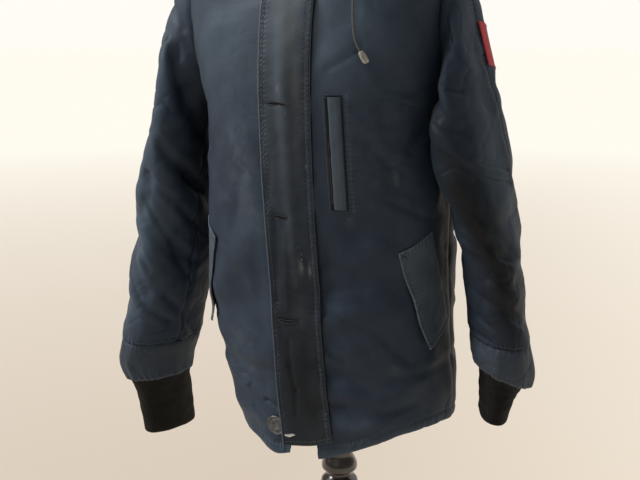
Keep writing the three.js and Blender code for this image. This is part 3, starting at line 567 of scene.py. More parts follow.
@dataclass
class Sheet:
    """A sheet of cloth as a grid of points in millimetres, rows up it and columns across it.

    Attributes:
        points: The outer face, rows by columns by 3.
        core: Points that lie inside, which tell which way is out.
        closed: Whether the last column meets the first one.
    """

    points: Array
    core: Array
    closed: bool = False

    def crossings(self) -> Array:
        """Returns the direction out of the grid at each point, by its own winding."""
        if self.closed:
            across = np.roll(self.points, -1, axis=1) - np.roll(self.points, 1, axis=1)
        else:
            across = np.gradient(self.points, axis=1)
        out = np.cross(across, np.gradient(self.points, axis=0))
        return out / np.maximum(np.linalg.norm(out, axis=-1, keepdims=True), 1e-9)

    def normals(self) -> Array:
        """Returns the outward direction at each point."""
        out = self.crossings()
        return out * self.facing(out)

    def facing(self, out: Array) -> float:
        """Returns 1 if the directions point away from the core and -1 if they point to it."""
        return math.copysign(1.0, float((out * (self.points - self.core)).sum(-1).mean()))

    def raised(self, height: Array) -> "Sheet":
        """Returns the sheet moved outwards by a height at each point."""
        return Sheet(self.points + self.normals() * height[..., None], self.core, self.closed)

    def across(self) -> Array:
        """Returns each point's way from the first column."""
        steps = np.linalg.norm(np.diff(self.points, axis=1), axis=-1)
        return np.concatenate([np.zeros((len(steps), 1)), np.cumsum(steps, axis=1)], axis=1)

    def up(self) -> Array:
        """Returns each point's way from the first row."""
        steps = np.linalg.norm(np.diff(self.points, axis=0), axis=-1)
        return np.concatenate([np.zeros((1, steps.shape[1])), np.cumsum(steps, axis=0)], axis=0)

    def from_edge(self, side: Side) -> Array:
        """Returns each point's distance from an edge.

        Args:
            side: The edge.

        Returns:
            The distances.
        """
        if side is Side.START:
            return self.across()
        if side is Side.END:
            return self.across()[:, -1:] - self.across()
        if side is Side.LOW:
            return self.up()
        return self.up()[-1:] - self.up()

    def along_edge(self, side: Side) -> Array:
        """Returns each point's way along an edge."""
        return self.up() if side in (Side.START, Side.END) else self.across()

    def line(self, side: Side, inset: float) -> tuple[Array, Array]:
        """Gives the line that runs at a distance inside an edge.

        Args:
            side: The edge.
            inset: The distance.

        Returns:
            Points of the line and the outward directions there.
        """
        away, normals = self.from_edge(side), self.normals()
        points = self.points
        if side in (Side.LOW, Side.HIGH):
            away, points, normals = away.T, points.swapaxes(0, 1), normals.swapaxes(0, 1)
        if side in (Side.END, Side.HIGH):
            away, points, normals = away[:, ::-1], points[:, ::-1], normals[:, ::-1]
        step = np.array([np.interp(inset, row, np.arange(len(row))) for row in away])
        low = np.minimum(step.astype(int), away.shape[1] - 2)
        share = (step - low)[:, None]
        rows = np.arange(len(step))
        line = points[rows, low] * (1 - share) + points[rows, low + 1] * share
        return line, normals[rows, low]

    def area(self) -> float:
        """Returns the area in square metres."""
        p = self.points
        one = np.cross(p[1:, 1:] - p[:-1, :-1], p[1:, :-1] - p[:-1, 1:])
        return float(np.linalg.norm(one, axis=-1).sum() / 2) * MILLIMETRE**2


class Sewing:
    """Collects stitches and makes one piece of them."""

    def __init__(self, pitch: float = 3.4, length: float = 2.5, radius: float = 0.34) -> None:
        """Sets the way from stitch to stitch and the length and half the width of what shows of one."""
        self.pitch, self.length, self.radius = pitch, length, radius
        self.marks: list[tuple[Array, Array, Array]] = []

    def follow(self, line: Array, normals: Array) -> None:
        """Sews along a line of points with the cloth's outward directions there."""
        way = way_along(line)
        for at in np.arange(self.pitch, way[-1] - self.pitch / 2, self.pitch):
            middle, ahead, out = (
                np.array([np.interp(place, way, values[:, k]) for k in range(3)])
                for place, values in ((at, line), (at + 1, line), (at, normals))
            )
            self.marks.append((middle, unit(ahead - middle), unit(out)))

    def hem(self, sheet: Sheet, side: Side, inset: float) -> None:
        """Sews along the inside of a sheet's edge."""
        self.follow(*sheet.line(side, inset))

    def mesh(self) -> tuple[Array, list[tuple[int, ...]]]:
        """Returns the points in millimetres and the faces of all the stitches."""
        points, faces = [], []
        for middle, along, out in self.marks:
            side = np.cross(along, out)
            base = len(points)
            raised = middle + out * self.radius * 0.55
            points.append(raised - along * self.length / 2 - out * self.radius)
            for end in (-0.28, 0.28):
                for turn in range(4):
                    angle = math.pi * (turn / 2 + 0.25)
                    ring = side * math.cos(angle) * self.radius + out * math.sin(angle) * self.radius
                    points.append(raised + along * self.length * end + ring)
            points.append(raised + along * self.length / 2 - out * self.radius)
            for turn in range(4):
                a, b = base + 1 + turn, base + 1 + (turn + 1) % 4
                faces += [(base, b, a), (a, b, b + 4, a + 4), (base + 9, a + 4, b + 4)]
        return np.array(points), faces


class Paint:
    """The values painted on a sheet for its material, one for each point."""

    def __init__(self, sheet: Sheet) -> None:
        """Starts with nothing painted and all stitches a metre away.

        Args:
            sheet: The points that the paint lies on.
        """
        self.sheet = sheet
        # The deep layer holds painted shade, which darkens the cloth's colour.
        names = ("wear", "soil", "dust", "deep", "stitch_away", "stitch_run")
        self.layers = {name: np.zeros(sheet.points.shape[:2]) for name in names}
        self.layers["stitch_away"] += 1.0

    def add(self, name: str, value: Array | float) -> None:
        """Adds to one layer, which stays between 0 and 1."""
        self.layers[name] = np.clip(self.layers[name] + value, 0, 1)

    def spots(self, across: Array, up: Array, layers: dict[str, Array]) -> None:
        """Adds soft spots to some layers.

        Args:
            across: First coordinate of each point.
            up: Second coordinate of each point.
            layers: By layer, middle across and up, width, height and strength of each spot.
        """
        for name, spots in layers.items():
            for middle_across, middle_up, wide, high, strength in spots:
                self.add(name, strength * bell(across, middle_across, wide) * bell(up, middle_up, high))

    def stitches(self, away: Array, run: Array) -> None:
        """Paints how far each point is from a stitched line, where that line is the nearest.

        Args:
            away: Distance from the line in millimetres.
            run: Way along it in millimetres.
        """
        nearer = away * MILLIMETRE < self.layers["stitch_away"]
        for name, value in (("stitch_away", away), ("stitch_run", run)):
            self.layers[name] = np.where(nearer, value * MILLIMETRE, self.layers[name])

    def seam(self, side: Side, inset: float) -> None:
        """Paints a stitched line inside an edge."""
        self.stitches(np.abs(self.sheet.from_edge(side) - inset), self.sheet.along_edge(side))

    def edge(self, name: str, side: Side, strength: float, width: float, middle: float = 0) -> None:
        """Adds a soft line along an edge to one layer."""
        self.add(name, strength * bell(self.sheet.from_edge(side), middle, width))


class Maker:
    """Turns grids and operator-made objects into finished pieces that ride on the part."""

    def object_from(self, name: str, points: Array, faces: list[tuple[int, ...]]) -> Object:
        """Makes a mesh object in the scene from points in millimetres.

        Args:
            name: Its name.
            points: Its points, one a row.
            faces: Its faces as point numbers.

        Returns:
            The object.
        """
        mesh = bpy.data.meshes.new(name)
        mesh.from_pydata((np.asarray(points) * MILLIMETRE).tolist(), [], faces)
        mesh.update()
        made = bpy.data.objects.new(name, mesh)
        bpy.context.scene.collection.objects.link(made)
        return made

    def select_only(self, chosen: Object) -> None:
        """Makes one object the selected and active one.

        Args:
            chosen: The object.
        """
        for other in bpy.context.view_layer.objects:
            other.select_set(False)
        chosen.select_set(True)
        bpy.context.view_layer.objects.active = chosen

    def turn_outwards(self, piece: Object) -> None:
        """Turns all faces of a closed piece outwards.

        Args:
            piece: The piece.
        """
        self.select_only(piece)
        bpy.ops.object.mode_set(mode="EDIT")
        bpy.ops.mesh.select_all(action="SELECT")
        bpy.ops.mesh.normals_make_consistent(inside=False)
        bpy.ops.object.mode_set(mode="OBJECT")

    def smooth(self, piece: Object, degrees: float) -> None:
        """Shades a piece smooth, apart from edges sharper than an angle."""
        self.select_only(piece)
        bpy.ops.object.shade_smooth_by_angle(angle=math.radians(degrees))

    def grid_faces(self, rows: int, columns: int, closed: bool, turned: bool) -> list[tuple[int, ...]]:
        """Gives the corner numbers of a grid's faces.

        Args:
            rows: Number of rows.
            columns: Number of columns.
            closed: Whether the last column meets the first one.
            turned: Whether the faces are wound the other way.

        Returns:
            The corners of each face.
        """
        r, c = np.meshgrid(np.arange(rows - 1), np.arange(columns if closed else columns - 1), indexing="ij")
        a, b = r * columns + c, r * columns + (c + 1) % columns
        corners = [a, b, b + columns, a + columns]
        if turned:
            corners.reverse()
        return [tuple(face) for face in np.stack(corners, axis=-1).reshape(-1, 4).tolist()]

    def cloth(self, name: str, paint: Paint, wall: float, material: Material) -> Object:
        """Makes a piece of cloth with a wall, its painted values and its UV map in metres.

        Args:
            name: The piece's name.
            paint: Its painted outer face.
            wall: Its thickness in millimetres.
            material: Its finish.

        Returns:
            The piece.
        """
        sheet = paint.sheet
        turned = sheet.facing(sheet.crossings()) < 0
        faces = self.grid_faces(*sheet.points.shape[:2], sheet.closed, turned)
        piece = self.object_from(name, sheet.points.reshape(-1, 3), faces)
        mesh = piece.data
        for key, values in paint.layers.items():
            layer = mesh.attributes.new(key, "FLOAT", "POINT")
            layer.data.foreach_set("value", np.ascontiguousarray(values, np.float32).ravel())
        corner = np.zeros(len(mesh.loops), np.int32)
        mesh.loops.foreach_get("vertex_index", corner)
        flat = np.stack([sheet.across().ravel()[corner], sheet.up().ravel()[corner]], axis=-1) * MILLIMETRE
        mesh.uv_layers.new(name="cut").data.foreach_set("uv", flat.astype(np.float32).ravel())
        solidify = piece.modifiers.new("wall", "SOLIDIFY")
        solidify.thickness, solidify.offset = wall * MILLIMETRE, -1
        mesh.materials.append(material)
        self.select_only(piece)
        bpy.ops.object.modifier_apply(modifier=solidify.name)
        self.smooth(piece, 55)
        return piece

    def strip(self, name: str, sheet: Sheet, wall: float, material: Material) -> None:
        """Makes a narrow strip without painted layers in a seam or slit; the dark ones stand for painted
        shade, apart from the zip tape.
        """
        self.settle(self.cloth(name, Paint(sheet), wall, material), "shell_cloth")

    def panel(
        self,
        name: str,
        node: str,
        paint: Paint,
        wall: float,
        material: Material,
        rests_on: str,
        held: str = "hung",
        slot: str = "shell_cloth",
    ) -> None:
        """Args:
            name: The piece's name.
            node: The solid that it stands for.
            paint: Its painted outer face.
            wall: Its thickness in millimetres.
            material: Its finish.
            rests_on: What it hangs on or lies on; not used.
            held: How it is held; not used.
            slot: The record's material slot.
        """
        piece, sheet = self.cloth(name, paint, wall, material), paint.sheet
        widths = sheet.across()[:, -1]
        if sheet.closed:
            widths = widths + np.linalg.norm(sheet.points[:, 0] - sheet.points[:, -1], axis=-1)
        flat = (float(widths.max()) * MILLIMETRE, float(sheet.up()[-1].max()) * MILLIMETRE)
        min(sheet.area(), flat[0] * flat[1])
        self.settle(piece, slot, node)

    def stitched(self, name: str, sewing: Sewing, material: Material, slot: str = "shell_cloth") -> None:
        """Makes one piece of all the stitches that were collected."""
        self.dress(self.object_from(name, *sewing.mesh()), material, 80, slot)

    def dress(
        self, piece: Object, material: Material, degrees: float, slot: str, *nodes: str
    ) -> Object:
        """Gives a piece its finish and smooth shading and puts it on the part.

        Args:
            piece: The piece, in place.
            material: Its finish.
            degrees: Angle past which an edge stays sharp.
            slot: The record's material slot.
            nodes: The solids that it stands for.

        Returns:
            The piece.
        """
        piece.data.materials.append(material)
        self.smooth(piece, degrees)
        return self.settle(piece, slot, *nodes)

    def settle(self, piece: Object, slot: str, *nodes: str) -> Object:
        """Puts a finished piece on the part and returns it.

        Args:
            piece: The piece.
            slot: Name of its finish slot; not used.
            *nodes: The part's nodes that it stands for.

        Returns:
            The piece.
        """
        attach(piece, ROOT)
        if nodes:
            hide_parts(*nodes)
        LOG.info("%s has %d faces", piece.name, len(piece.data.polygons))
        return piece

    def capped(self, name: str, rings: Array) -> Object:
        """Makes a closed piece of rings of points with a face over both ends.

        Args:
            name: The piece's name.
            rings: The points, rings by places round them by 3.

        Returns:
            The piece.
        """
        count, around = rings.shape[:2]
        faces = self.grid_faces(count, around, True, False)
        faces += [tuple(reversed(range(around))), tuple(range((count - 1) * around, count * around))]
        piece = self.object_from(name, rings.reshape(-1, 3), faces)
        self.turn_outwards(piece)
        return piece

    def turned(self, name: str, profile: list[tuple[float, float]], steps: int) -> Object:
        """Turns a profile round the Z axis, as on a lathe.

        Args:
            name: The piece's name.
            profile: Radius and height of each point in millimetres, from the axis back to the axis.
            steps: Faces round it.

        Returns:
            The piece.
        """
        points = np.array([[radius, 0, height] for radius, height in profile]) * MILLIMETRE
        bpy.ops.mesh.primitive_plane_add()
        piece = bpy.context.object
        piece.name = piece.data.name = name
        piece.data.clear_geometry()
        piece.data.from_pydata(points.tolist(), [(i, i + 1) for i in range(len(points) - 1)], [])
        self.select_only(piece)
        bpy.ops.object.mode_set(mode="EDIT")
        bpy.ops.mesh.select_all(action="SELECT")
        bpy.ops.mesh.spin(steps=steps, angle=2 * math.pi, center=(0, 0, 0), axis=(0, 0, 1))
        bpy.ops.mesh.select_all(action="SELECT")
        bpy.ops.mesh.remove_doubles(threshold=0.00001)
        bpy.ops.object.mode_set(mode="OBJECT")
        self.turn_outwards(piece)
        return piece


class Nodes:
    """Short ways to build a node tree."""

    def __init__(self, tree: NodeTree) -> None:
        """Takes the tree to build in."""
        self.tree = tree

    def add(self, kind: str, inputs: dict | None = None, **settings: object) -> Node:
        """Adds a node.

        Args:
            kind: Its type's name.
            inputs: Values or sockets by input name or number.
            settings: The node's own settings.

        Returns:
            The node.
        """
        node = self.tree.nodes.new(kind)
        for key, value in settings.items():
            setattr(node, key, value)
        for key, value in (inputs or {}).items():
            self.feed(node.inputs[key], value)
        return node

    def feed(self, socket: NodeSocket, value: object) -> None:
        """Links a socket to an input or sets the input's value."""
        if isinstance(value, NodeSocket):
            self.tree.links.new(value, socket)
        else:
            socket.default_value = value

    def math(self, operation: str, first: object, second: object = 0.0, clamp: bool = False) -> object:
        """Adds a math node and returns its output."""
        given = {0: first, 1: second}
        return self.add("ShaderNodeMath", given, operation=operation, use_clamp=clamp).outputs[0]

    def times(self, first: object, second: object) -> object:
        """Multiplies two values."""
        return self.math("MULTIPLY", first, second)

    def plus(self, first: object, second: object, clamp: bool = False) -> object:
        """Adds two values."""
        return self.math("ADD", first, second, clamp)

    def mix(self, factor: object, first: object, second: object) -> object:
        """Mixes two colours and returns the result's socket."""
        return self.add("ShaderNodeMix", {0: factor, 6: first, 7: second}, data_type="RGBA").outputs[2]

    def spread(self, value: object, low: float, high: float, to_low: float = 0, to_high: float = 1) -> object:
        """Maps a value's range to another one, clamped, and returns the socket."""
        given = dict(enumerate((value, low, high, to_low, to_high)))
        return self.add("ShaderNodeMapRange", given, clamp=True).outputs[0]

    def painted(self, name: str) -> object:
        """Reads a painted value of the cloth and returns the socket."""
        return self.add("ShaderNodeAttribute", attribute_name=name).outputs["Fac"]

    def noise(self, scale: float, detail: float, stretch: tuple = (1, 1, 1), warp: float = 0) -> object:
        """Adds noise on object coordinates and returns its value's socket.

        Args:
            scale: Its repeats in a metre.
            detail: Levels of finer noise.
            stretch: Factors on the three axes.
            warp: How far it is distorted.

        Returns:
            The socket.
        """
        place = self.add("ShaderNodeTexCoord").outputs["Object"]
        mapped = self.add("ShaderNodeMapping", {"Vector": place, "Scale": stretch}).outputs[0]
        inputs = {"Vector": mapped, "Scale": scale, "Detail": detail, "Distortion": warp}
        return self.add("ShaderNodeTexNoise", inputs).outputs[0]


# Near-black cloth for the zip tape and for painted shade in the buttonhole slits, the flap's seam gap and the
# groove round the welt.
class Effects:
    """Shader groups that several finishes share, each built once."""

    def __init__(self) -> None:
        """Builds the groups."""
        self.wear = self.build_wear()
        self.relief = self.build_relief()

    def start(self, name: str, inputs: dict[str, object], outputs: list[str]) -> tuple[Nodes, Node, Node]:
        """Starts a group with its sockets.

        Args:
            name: The group's name.
            inputs: Default of each input, a number or a colour.
            outputs: Name of each output, a colour where it is called so.

        Returns:
            The nodes, the group's input node and its output node.
        """
        tree = bpy.data.node_groups.new(name, "ShaderNodeTree")
        for key, value in inputs.items():
            kind = "NodeSocketColor" if isinstance(value, tuple) else "NodeSocketFloat"
            tree.interface.new_socket(key, in_out="INPUT", socket_type=kind).default_value = value
        for key in outputs:
            kind = "NodeSocketColor" if key == "Colour" else "NodeSocketFloat"
            tree.interface.new_socket(key, in_out="OUTPUT", socket_type=kind)
        nodes = Nodes(tree)
        return nodes, nodes.add("NodeGroupInput"), nodes.add("NodeGroupOutput")

    def build_wear(self) -> NodeTree:
        """Builds the group that fades, soils and dusts a colour, and darkens it towards near black with
        painted shade where the deep layer is painted.
        """
        inputs: dict = dict.fromkeys(("Colour", "Faded", "Soil", "Dust"), (0.0, 0.0, 0.0, 1.0))
        inputs["Patchiness"] = 0.3
        nodes, given, out = self.start("worn_colour", inputs, ["Colour", "Rough"])
        broad = nodes.noise(9, 4, (1, 1, 0.7), 0.4)
        fine = nodes.noise(70, 4)
        cloudy = nodes.times(nodes.math("SUBTRACT", broad, 0.5), given.outputs["Patchiness"])
        grain = nodes.times(nodes.math("SUBTRACT", fine, 0.5), 0.25)
        wear = nodes.plus(nodes.plus(nodes.painted("wear"), cloudy), grain, clamp=True)
        faded = nodes.mix(wear, given.outputs["Colour"], given.outputs["Faded"])
        soiled = nodes.mix(nodes.painted("soil"), faded, given.outputs["Soil"])
        specks = nodes.spread(nodes.noise(420, 2), 0.6, 0.74)
        powder = nodes.spread(nodes.noise(38, 5), 0.42, 0.75)
        dusty = nodes.times(nodes.painted("dust"), nodes.plus(specks, powder, clamp=True))
        # The deep layer is painted shade: it mixes the colour towards near black in shaded places.
        painted_shade_colour = nodes.mix(nodes.painted("deep"), soiled, (0.0012, 0.0015, 0.002, 1))
        nodes.feed(out.inputs["Colour"], nodes.mix(dusty, painted_shade_colour, given.outputs["Dust"]))
        nodes.feed(out.inputs["Rough"], nodes.spread(nodes.plus(fine, dusty), 0.3, 1.2, 0.5, 0.78))
        return nodes.tree

    def build_relief(self) -> NodeTree:
        """Builds the group for the weave, small wrinkles and the puckers beside stitches, in metres."""
        inputs = {"Weave": 0.00003, "Pitch": 0.0006, "Wrinkle": 0.0004, "Pucker": 0.0004}
        nodes, given, out = self.start("cloth_relief", inputs, ["Height"])
        flat = nodes.add("ShaderNodeSeparateXYZ", {0: nodes.add("ShaderNodeUVMap").outputs[0]})
        turns = nodes.math("DIVIDE", 2 * math.pi, given.outputs["Pitch"])
        warp, weft = (nodes.math("SINE", nodes.times(flat.outputs[axis], turns)) for axis in (0, 1))
        weave = nodes.times(nodes.times(warp, weft), given.outputs["Weave"])
        sharp = nodes.math("ABSOLUTE", nodes.math("SUBTRACT", nodes.noise(24, 2, (1, 1, 1.3), 0.7), 0.5))
        wrinkle = nodes.times(nodes.spread(sharp, 0, 0.22), given.outputs["Wrinkle"])
        away = nodes.math("DIVIDE", nodes.painted("stitch_away"), 0.0045)
        near = nodes.math("EXPONENT", nodes.times(nodes.times(away, away), -1))
        swing = nodes.times(nodes.noise(60, 2), 5)
        ripple = nodes.math("SINE", nodes.plus(nodes.times(nodes.painted("stitch_run"), 940), swing))
        pucker = nodes.times(nodes.times(near, ripple), given.outputs["Pucker"])
        nodes.feed(out.inputs[0], nodes.plus(nodes.plus(weave, wrinkle), pucker))
        return nodes.tree


@dataclass(frozen=True)
class Finish:
    """A material's name and main colour."""

    name: str
    colour: tuple[float, float, float]

    def start(self) -> tuple[Material, Nodes, Node]:
        """Starts the material.

        Returns:
            The material, its nodes and its shader.
        """
        material = bpy.data.materials.new(self.name)
        material.use_nodes = True
        return material, Nodes(material.node_tree), material.node_tree.nodes["Principled BSDF"]

    def bump(self, nodes: Nodes, shader: Node, height: object) -> None:
        """Feeds a height in metres to the shader's normal."""
        node = nodes.add("ShaderNodeBump", {"Height": height, "Distance": 1.0, "Strength": 1.0})
        nodes.feed(shader.inputs["Normal"], node.outputs[0])


@dataclass(frozen=True)
class WornCloth(Finish):
    """Shell cloth, faded and dusty where its paint says so, and darkened by painted shade where its deep
    layer is painted.
    """

    faded: tuple[float, float, float] = (0.082, 0.118, 0.16)
    soil: tuple[float, float, float] = (0.075, 0.072, 0.06)
    dust: tuple[float, float, float] = (0.34, 0.35, 0.34)
    patchiness: float = 0.22
    weave: float = 0.00003
    wrinkle: float = 0.00028
    pucker: float = 0.00045
    sheen: float = 0.02

    def build(self, effects: Effects) -> Material:
        """Builds the material from the shared effects.

        Args:
            effects: The node groups that all cloths share.

        Returns:
            The material.
        """
        material, nodes, shader = self.start()
        wear = nodes.add("ShaderNodeGroup", node_tree=effects.wear)
        for key in ("colour", "faded", "soil", "dust"):
            wear.inputs[key.capitalize()].default_value = (*getattr(self, key), 1)
        wear.inputs["Patchiness"].default_value = self.patchiness
        relief = nodes.add("ShaderNodeGroup", node_tree=effects.relief)
        for key in ("weave", "wrinkle", "pucker"):
            relief.inputs[key.capitalize()].default_value = getattr(self, key)
        nodes.feed(shader.inputs["Base Color"], wear.outputs["Colour"])
        nodes.feed(shader.inputs["Roughness"], wear.outputs["Rough"])
        shader.inputs["Sheen Weight"].default_value = self.sheen
        shader.inputs["Sheen Roughness"].default_value = 0.5
        shader.inputs["Specular IOR Level"].default_value = 0.17
        self.bump(nodes, shader, relief.outputs[0])
        return material


@dataclass(frozen=True)
class PlainFinish(Finish):
    """Thread, plastic, metal or wood: a colour with grain, gloss and fine relief."""

    second: tuple[float, float, float] = (0.1, 0.1, 0.1)
    grain_scale: float = 60.0
    grain_stretch: tuple[float, float, float] = (1, 1, 1)
    relief: float = 0.00005
    metallic: float = 0.0
    coat: float = 0.0
    rough_range: tuple[float, float] = (0.4, 0.6)

    def build(self) -> Material:
        """Builds the material."""
        material, nodes, shader = self.start()
        grain = nodes.noise(self.grain_scale, 5, self.grain_stretch, 0.3)
        share = nodes.spread(grain, 0.35, 0.68)
        nodes.feed(shader.inputs["Base Color"], nodes.mix(share, (*self.colour, 1), (*self.second, 1)))
        nodes.feed(shader.inputs["Roughness"], nodes.spread(grain, 0.3, 0.7, *self.rough_range))
        shader.inputs["Metallic"].default_value = self.metallic
        shader.inputs["Coat Weight"].default_value = self.coat
        shader.inputs["Coat Roughness"].default_value = 0.12
        self.bump(nodes, shader, nodes.math("MULTIPLY", grain, self.relief))
        return material


class Studio:
    """The camera at the photograph's angle, a pale floor and soft light."""

    place = Vector((0.50134, -1.32896, 1.293))
    pitch = 77.0
    azimuth = 22.0
    lens = 51.36

    def set_up(self) -> None:
        """Makes the camera, the floor and the lights."""
        self.make_camera()
        self.make_floor()
        self.make_lights()
        scene = bpy.context.scene
        scene.view_settings.view_transform = "Standard"
        scene.view_settings.look = "None"

    def make_camera(self) -> None:
        """Makes the camera and makes it the scene's own."""
        data = bpy.data.cameras.new("camera")
        data.lens = self.lens
        data.sensor_width = 36
        data.clip_start, data.clip_end = 0.05, 60
        camera = bpy.data.objects.new("camera", data)
        camera.location = self.place
        camera.rotation_euler = (math.radians(self.pitch), 0, math.radians(self.azimuth))
        bpy.context.scene.collection.objects.link(camera)
        bpy.context.scene.camera = camera

    def make_floor(self) -> None:
        """Makes the pale floor, a little lighter far away."""
        bpy.ops.mesh.primitive_plane_add(size=400, location=(0, 0, -0.0005))
        floor = bpy.context.object
        floor.name = "floor"
        finish = Finish("pale_floor", (0.84, 0.755, 0.65))
        material, nodes, shader = finish.start()
        place = nodes.add("ShaderNodeTexCoord").outputs["Object"]
        away = nodes.add("ShaderNodeVectorMath", {0: place}, operation="LENGTH").outputs["Value"]
        far = nodes.spread(away, 1.0, 9.0)
        across = nodes.spread(nodes.add("ShaderNodeSeparateXYZ", {0: place}).outputs[0], -0.6, 1.0)
        near = nodes.mix(across, (0.655, 0.565, 0.472, 1), (*finish.colour, 1))
        nodes.feed(shader.inputs["Base Color"], nodes.mix(far, near, (0.7, 0.67, 0.61, 1)))
        glow = nodes.mix(far, (0.0, 0.0, 0.0, 1), (0.25, 0.245, 0.225, 1))
        nodes.feed(shader.inputs["Emission Color"], glow)
        shader.inputs["Emission Strength"].default_value = 1.0
        shader.inputs["Roughness"].default_value = 0.95
        shader.inputs["Specular IOR Level"].default_value = 0.0
        floor.data.materials.append(material)

    def make_lights(self) -> None:
        """Makes the soft main light, two weak ones and the surroundings, brighter where they are seen."""
        self.sun("main_light", -68, 38, 24, 3.8, (1.0, 0.985, 0.96))
        self.sun("front_light", -8, 46, 60, 0.3, (0.96, 0.98, 1.0))
        self.sun("back_light", 150, 36, 60, 0.6, (0.95, 0.98, 1.0))
        world = bpy.data.worlds.new("surroundings")
        world.use_nodes = True
        bpy.context.scene.world = world
        nodes = Nodes(world.node_tree)
        lit = world.node_tree.nodes["Background"]
        lit.inputs[0].default_value, lit.inputs[1].default_value = (1, 0.98, 0.95, 1), 0.17
        seen = nodes.add("ShaderNodeBackground", {"Color": (1.0, 0.975, 0.91, 1), "Strength": 1.0})
        direct = nodes.add("ShaderNodeLightPath").outputs["Is Camera Ray"]
        mixed = nodes.add("ShaderNodeMixShader", {0: direct, 1: lit.outputs[0], 2: seen.outputs[0]})
        nodes.feed(world.node_tree.nodes["World Output"].inputs[0], mixed.outputs[0])

    def sun(self, name: str, azimuth: float, rise: float, soft: float, power: float, colour: tuple) -> None:
        """Makes a far light.

        Args:
            name: The light's name.
            azimuth: Where it stands, in degrees from the front towards the wearer's left.
            rise: Its height over the floor in degrees.
            soft: Its width in degrees.
            power: Its strength.
            colour: Its colour.
        """
        data = bpy.data.lights.new(name, "SUN")
        data.energy, data.color, data.angle = power, colour, math.radians(soft)
        light = bpy.data.objects.new(name, data)
        light.rotation_euler = (math.radians(90 - rise), 0, math.radians(azimuth))
        bpy.context.scene.collection.objects.link(light)


def shares(count: int, near: tuple = (0.004, 0.011, 0.022)) -> Array:
    """Gives shares from 0 to 1 with a few more close to both ends."""
    ends = np.array(near)
    return np.unique(np.round(np.concatenate([np.linspace(0, 1, count), ends, 1 - ends]), 5))


def inside_body(points: Array) -> Array:
    """Gives points on the body's middle line at the heights of others, lower near the neck."""
    height = points[..., 2] - 20 * smooth_step(points[..., 2], 1300, 1400)
    return np.stack([np.full_like(height, -12), np.full_like(height, -20), height], axis=-1)


@dataclass
class ClothWork:
    """What each sub-assembly of cloth is made with."""

    maker: Maker
    cloth: Material
    thread: Material


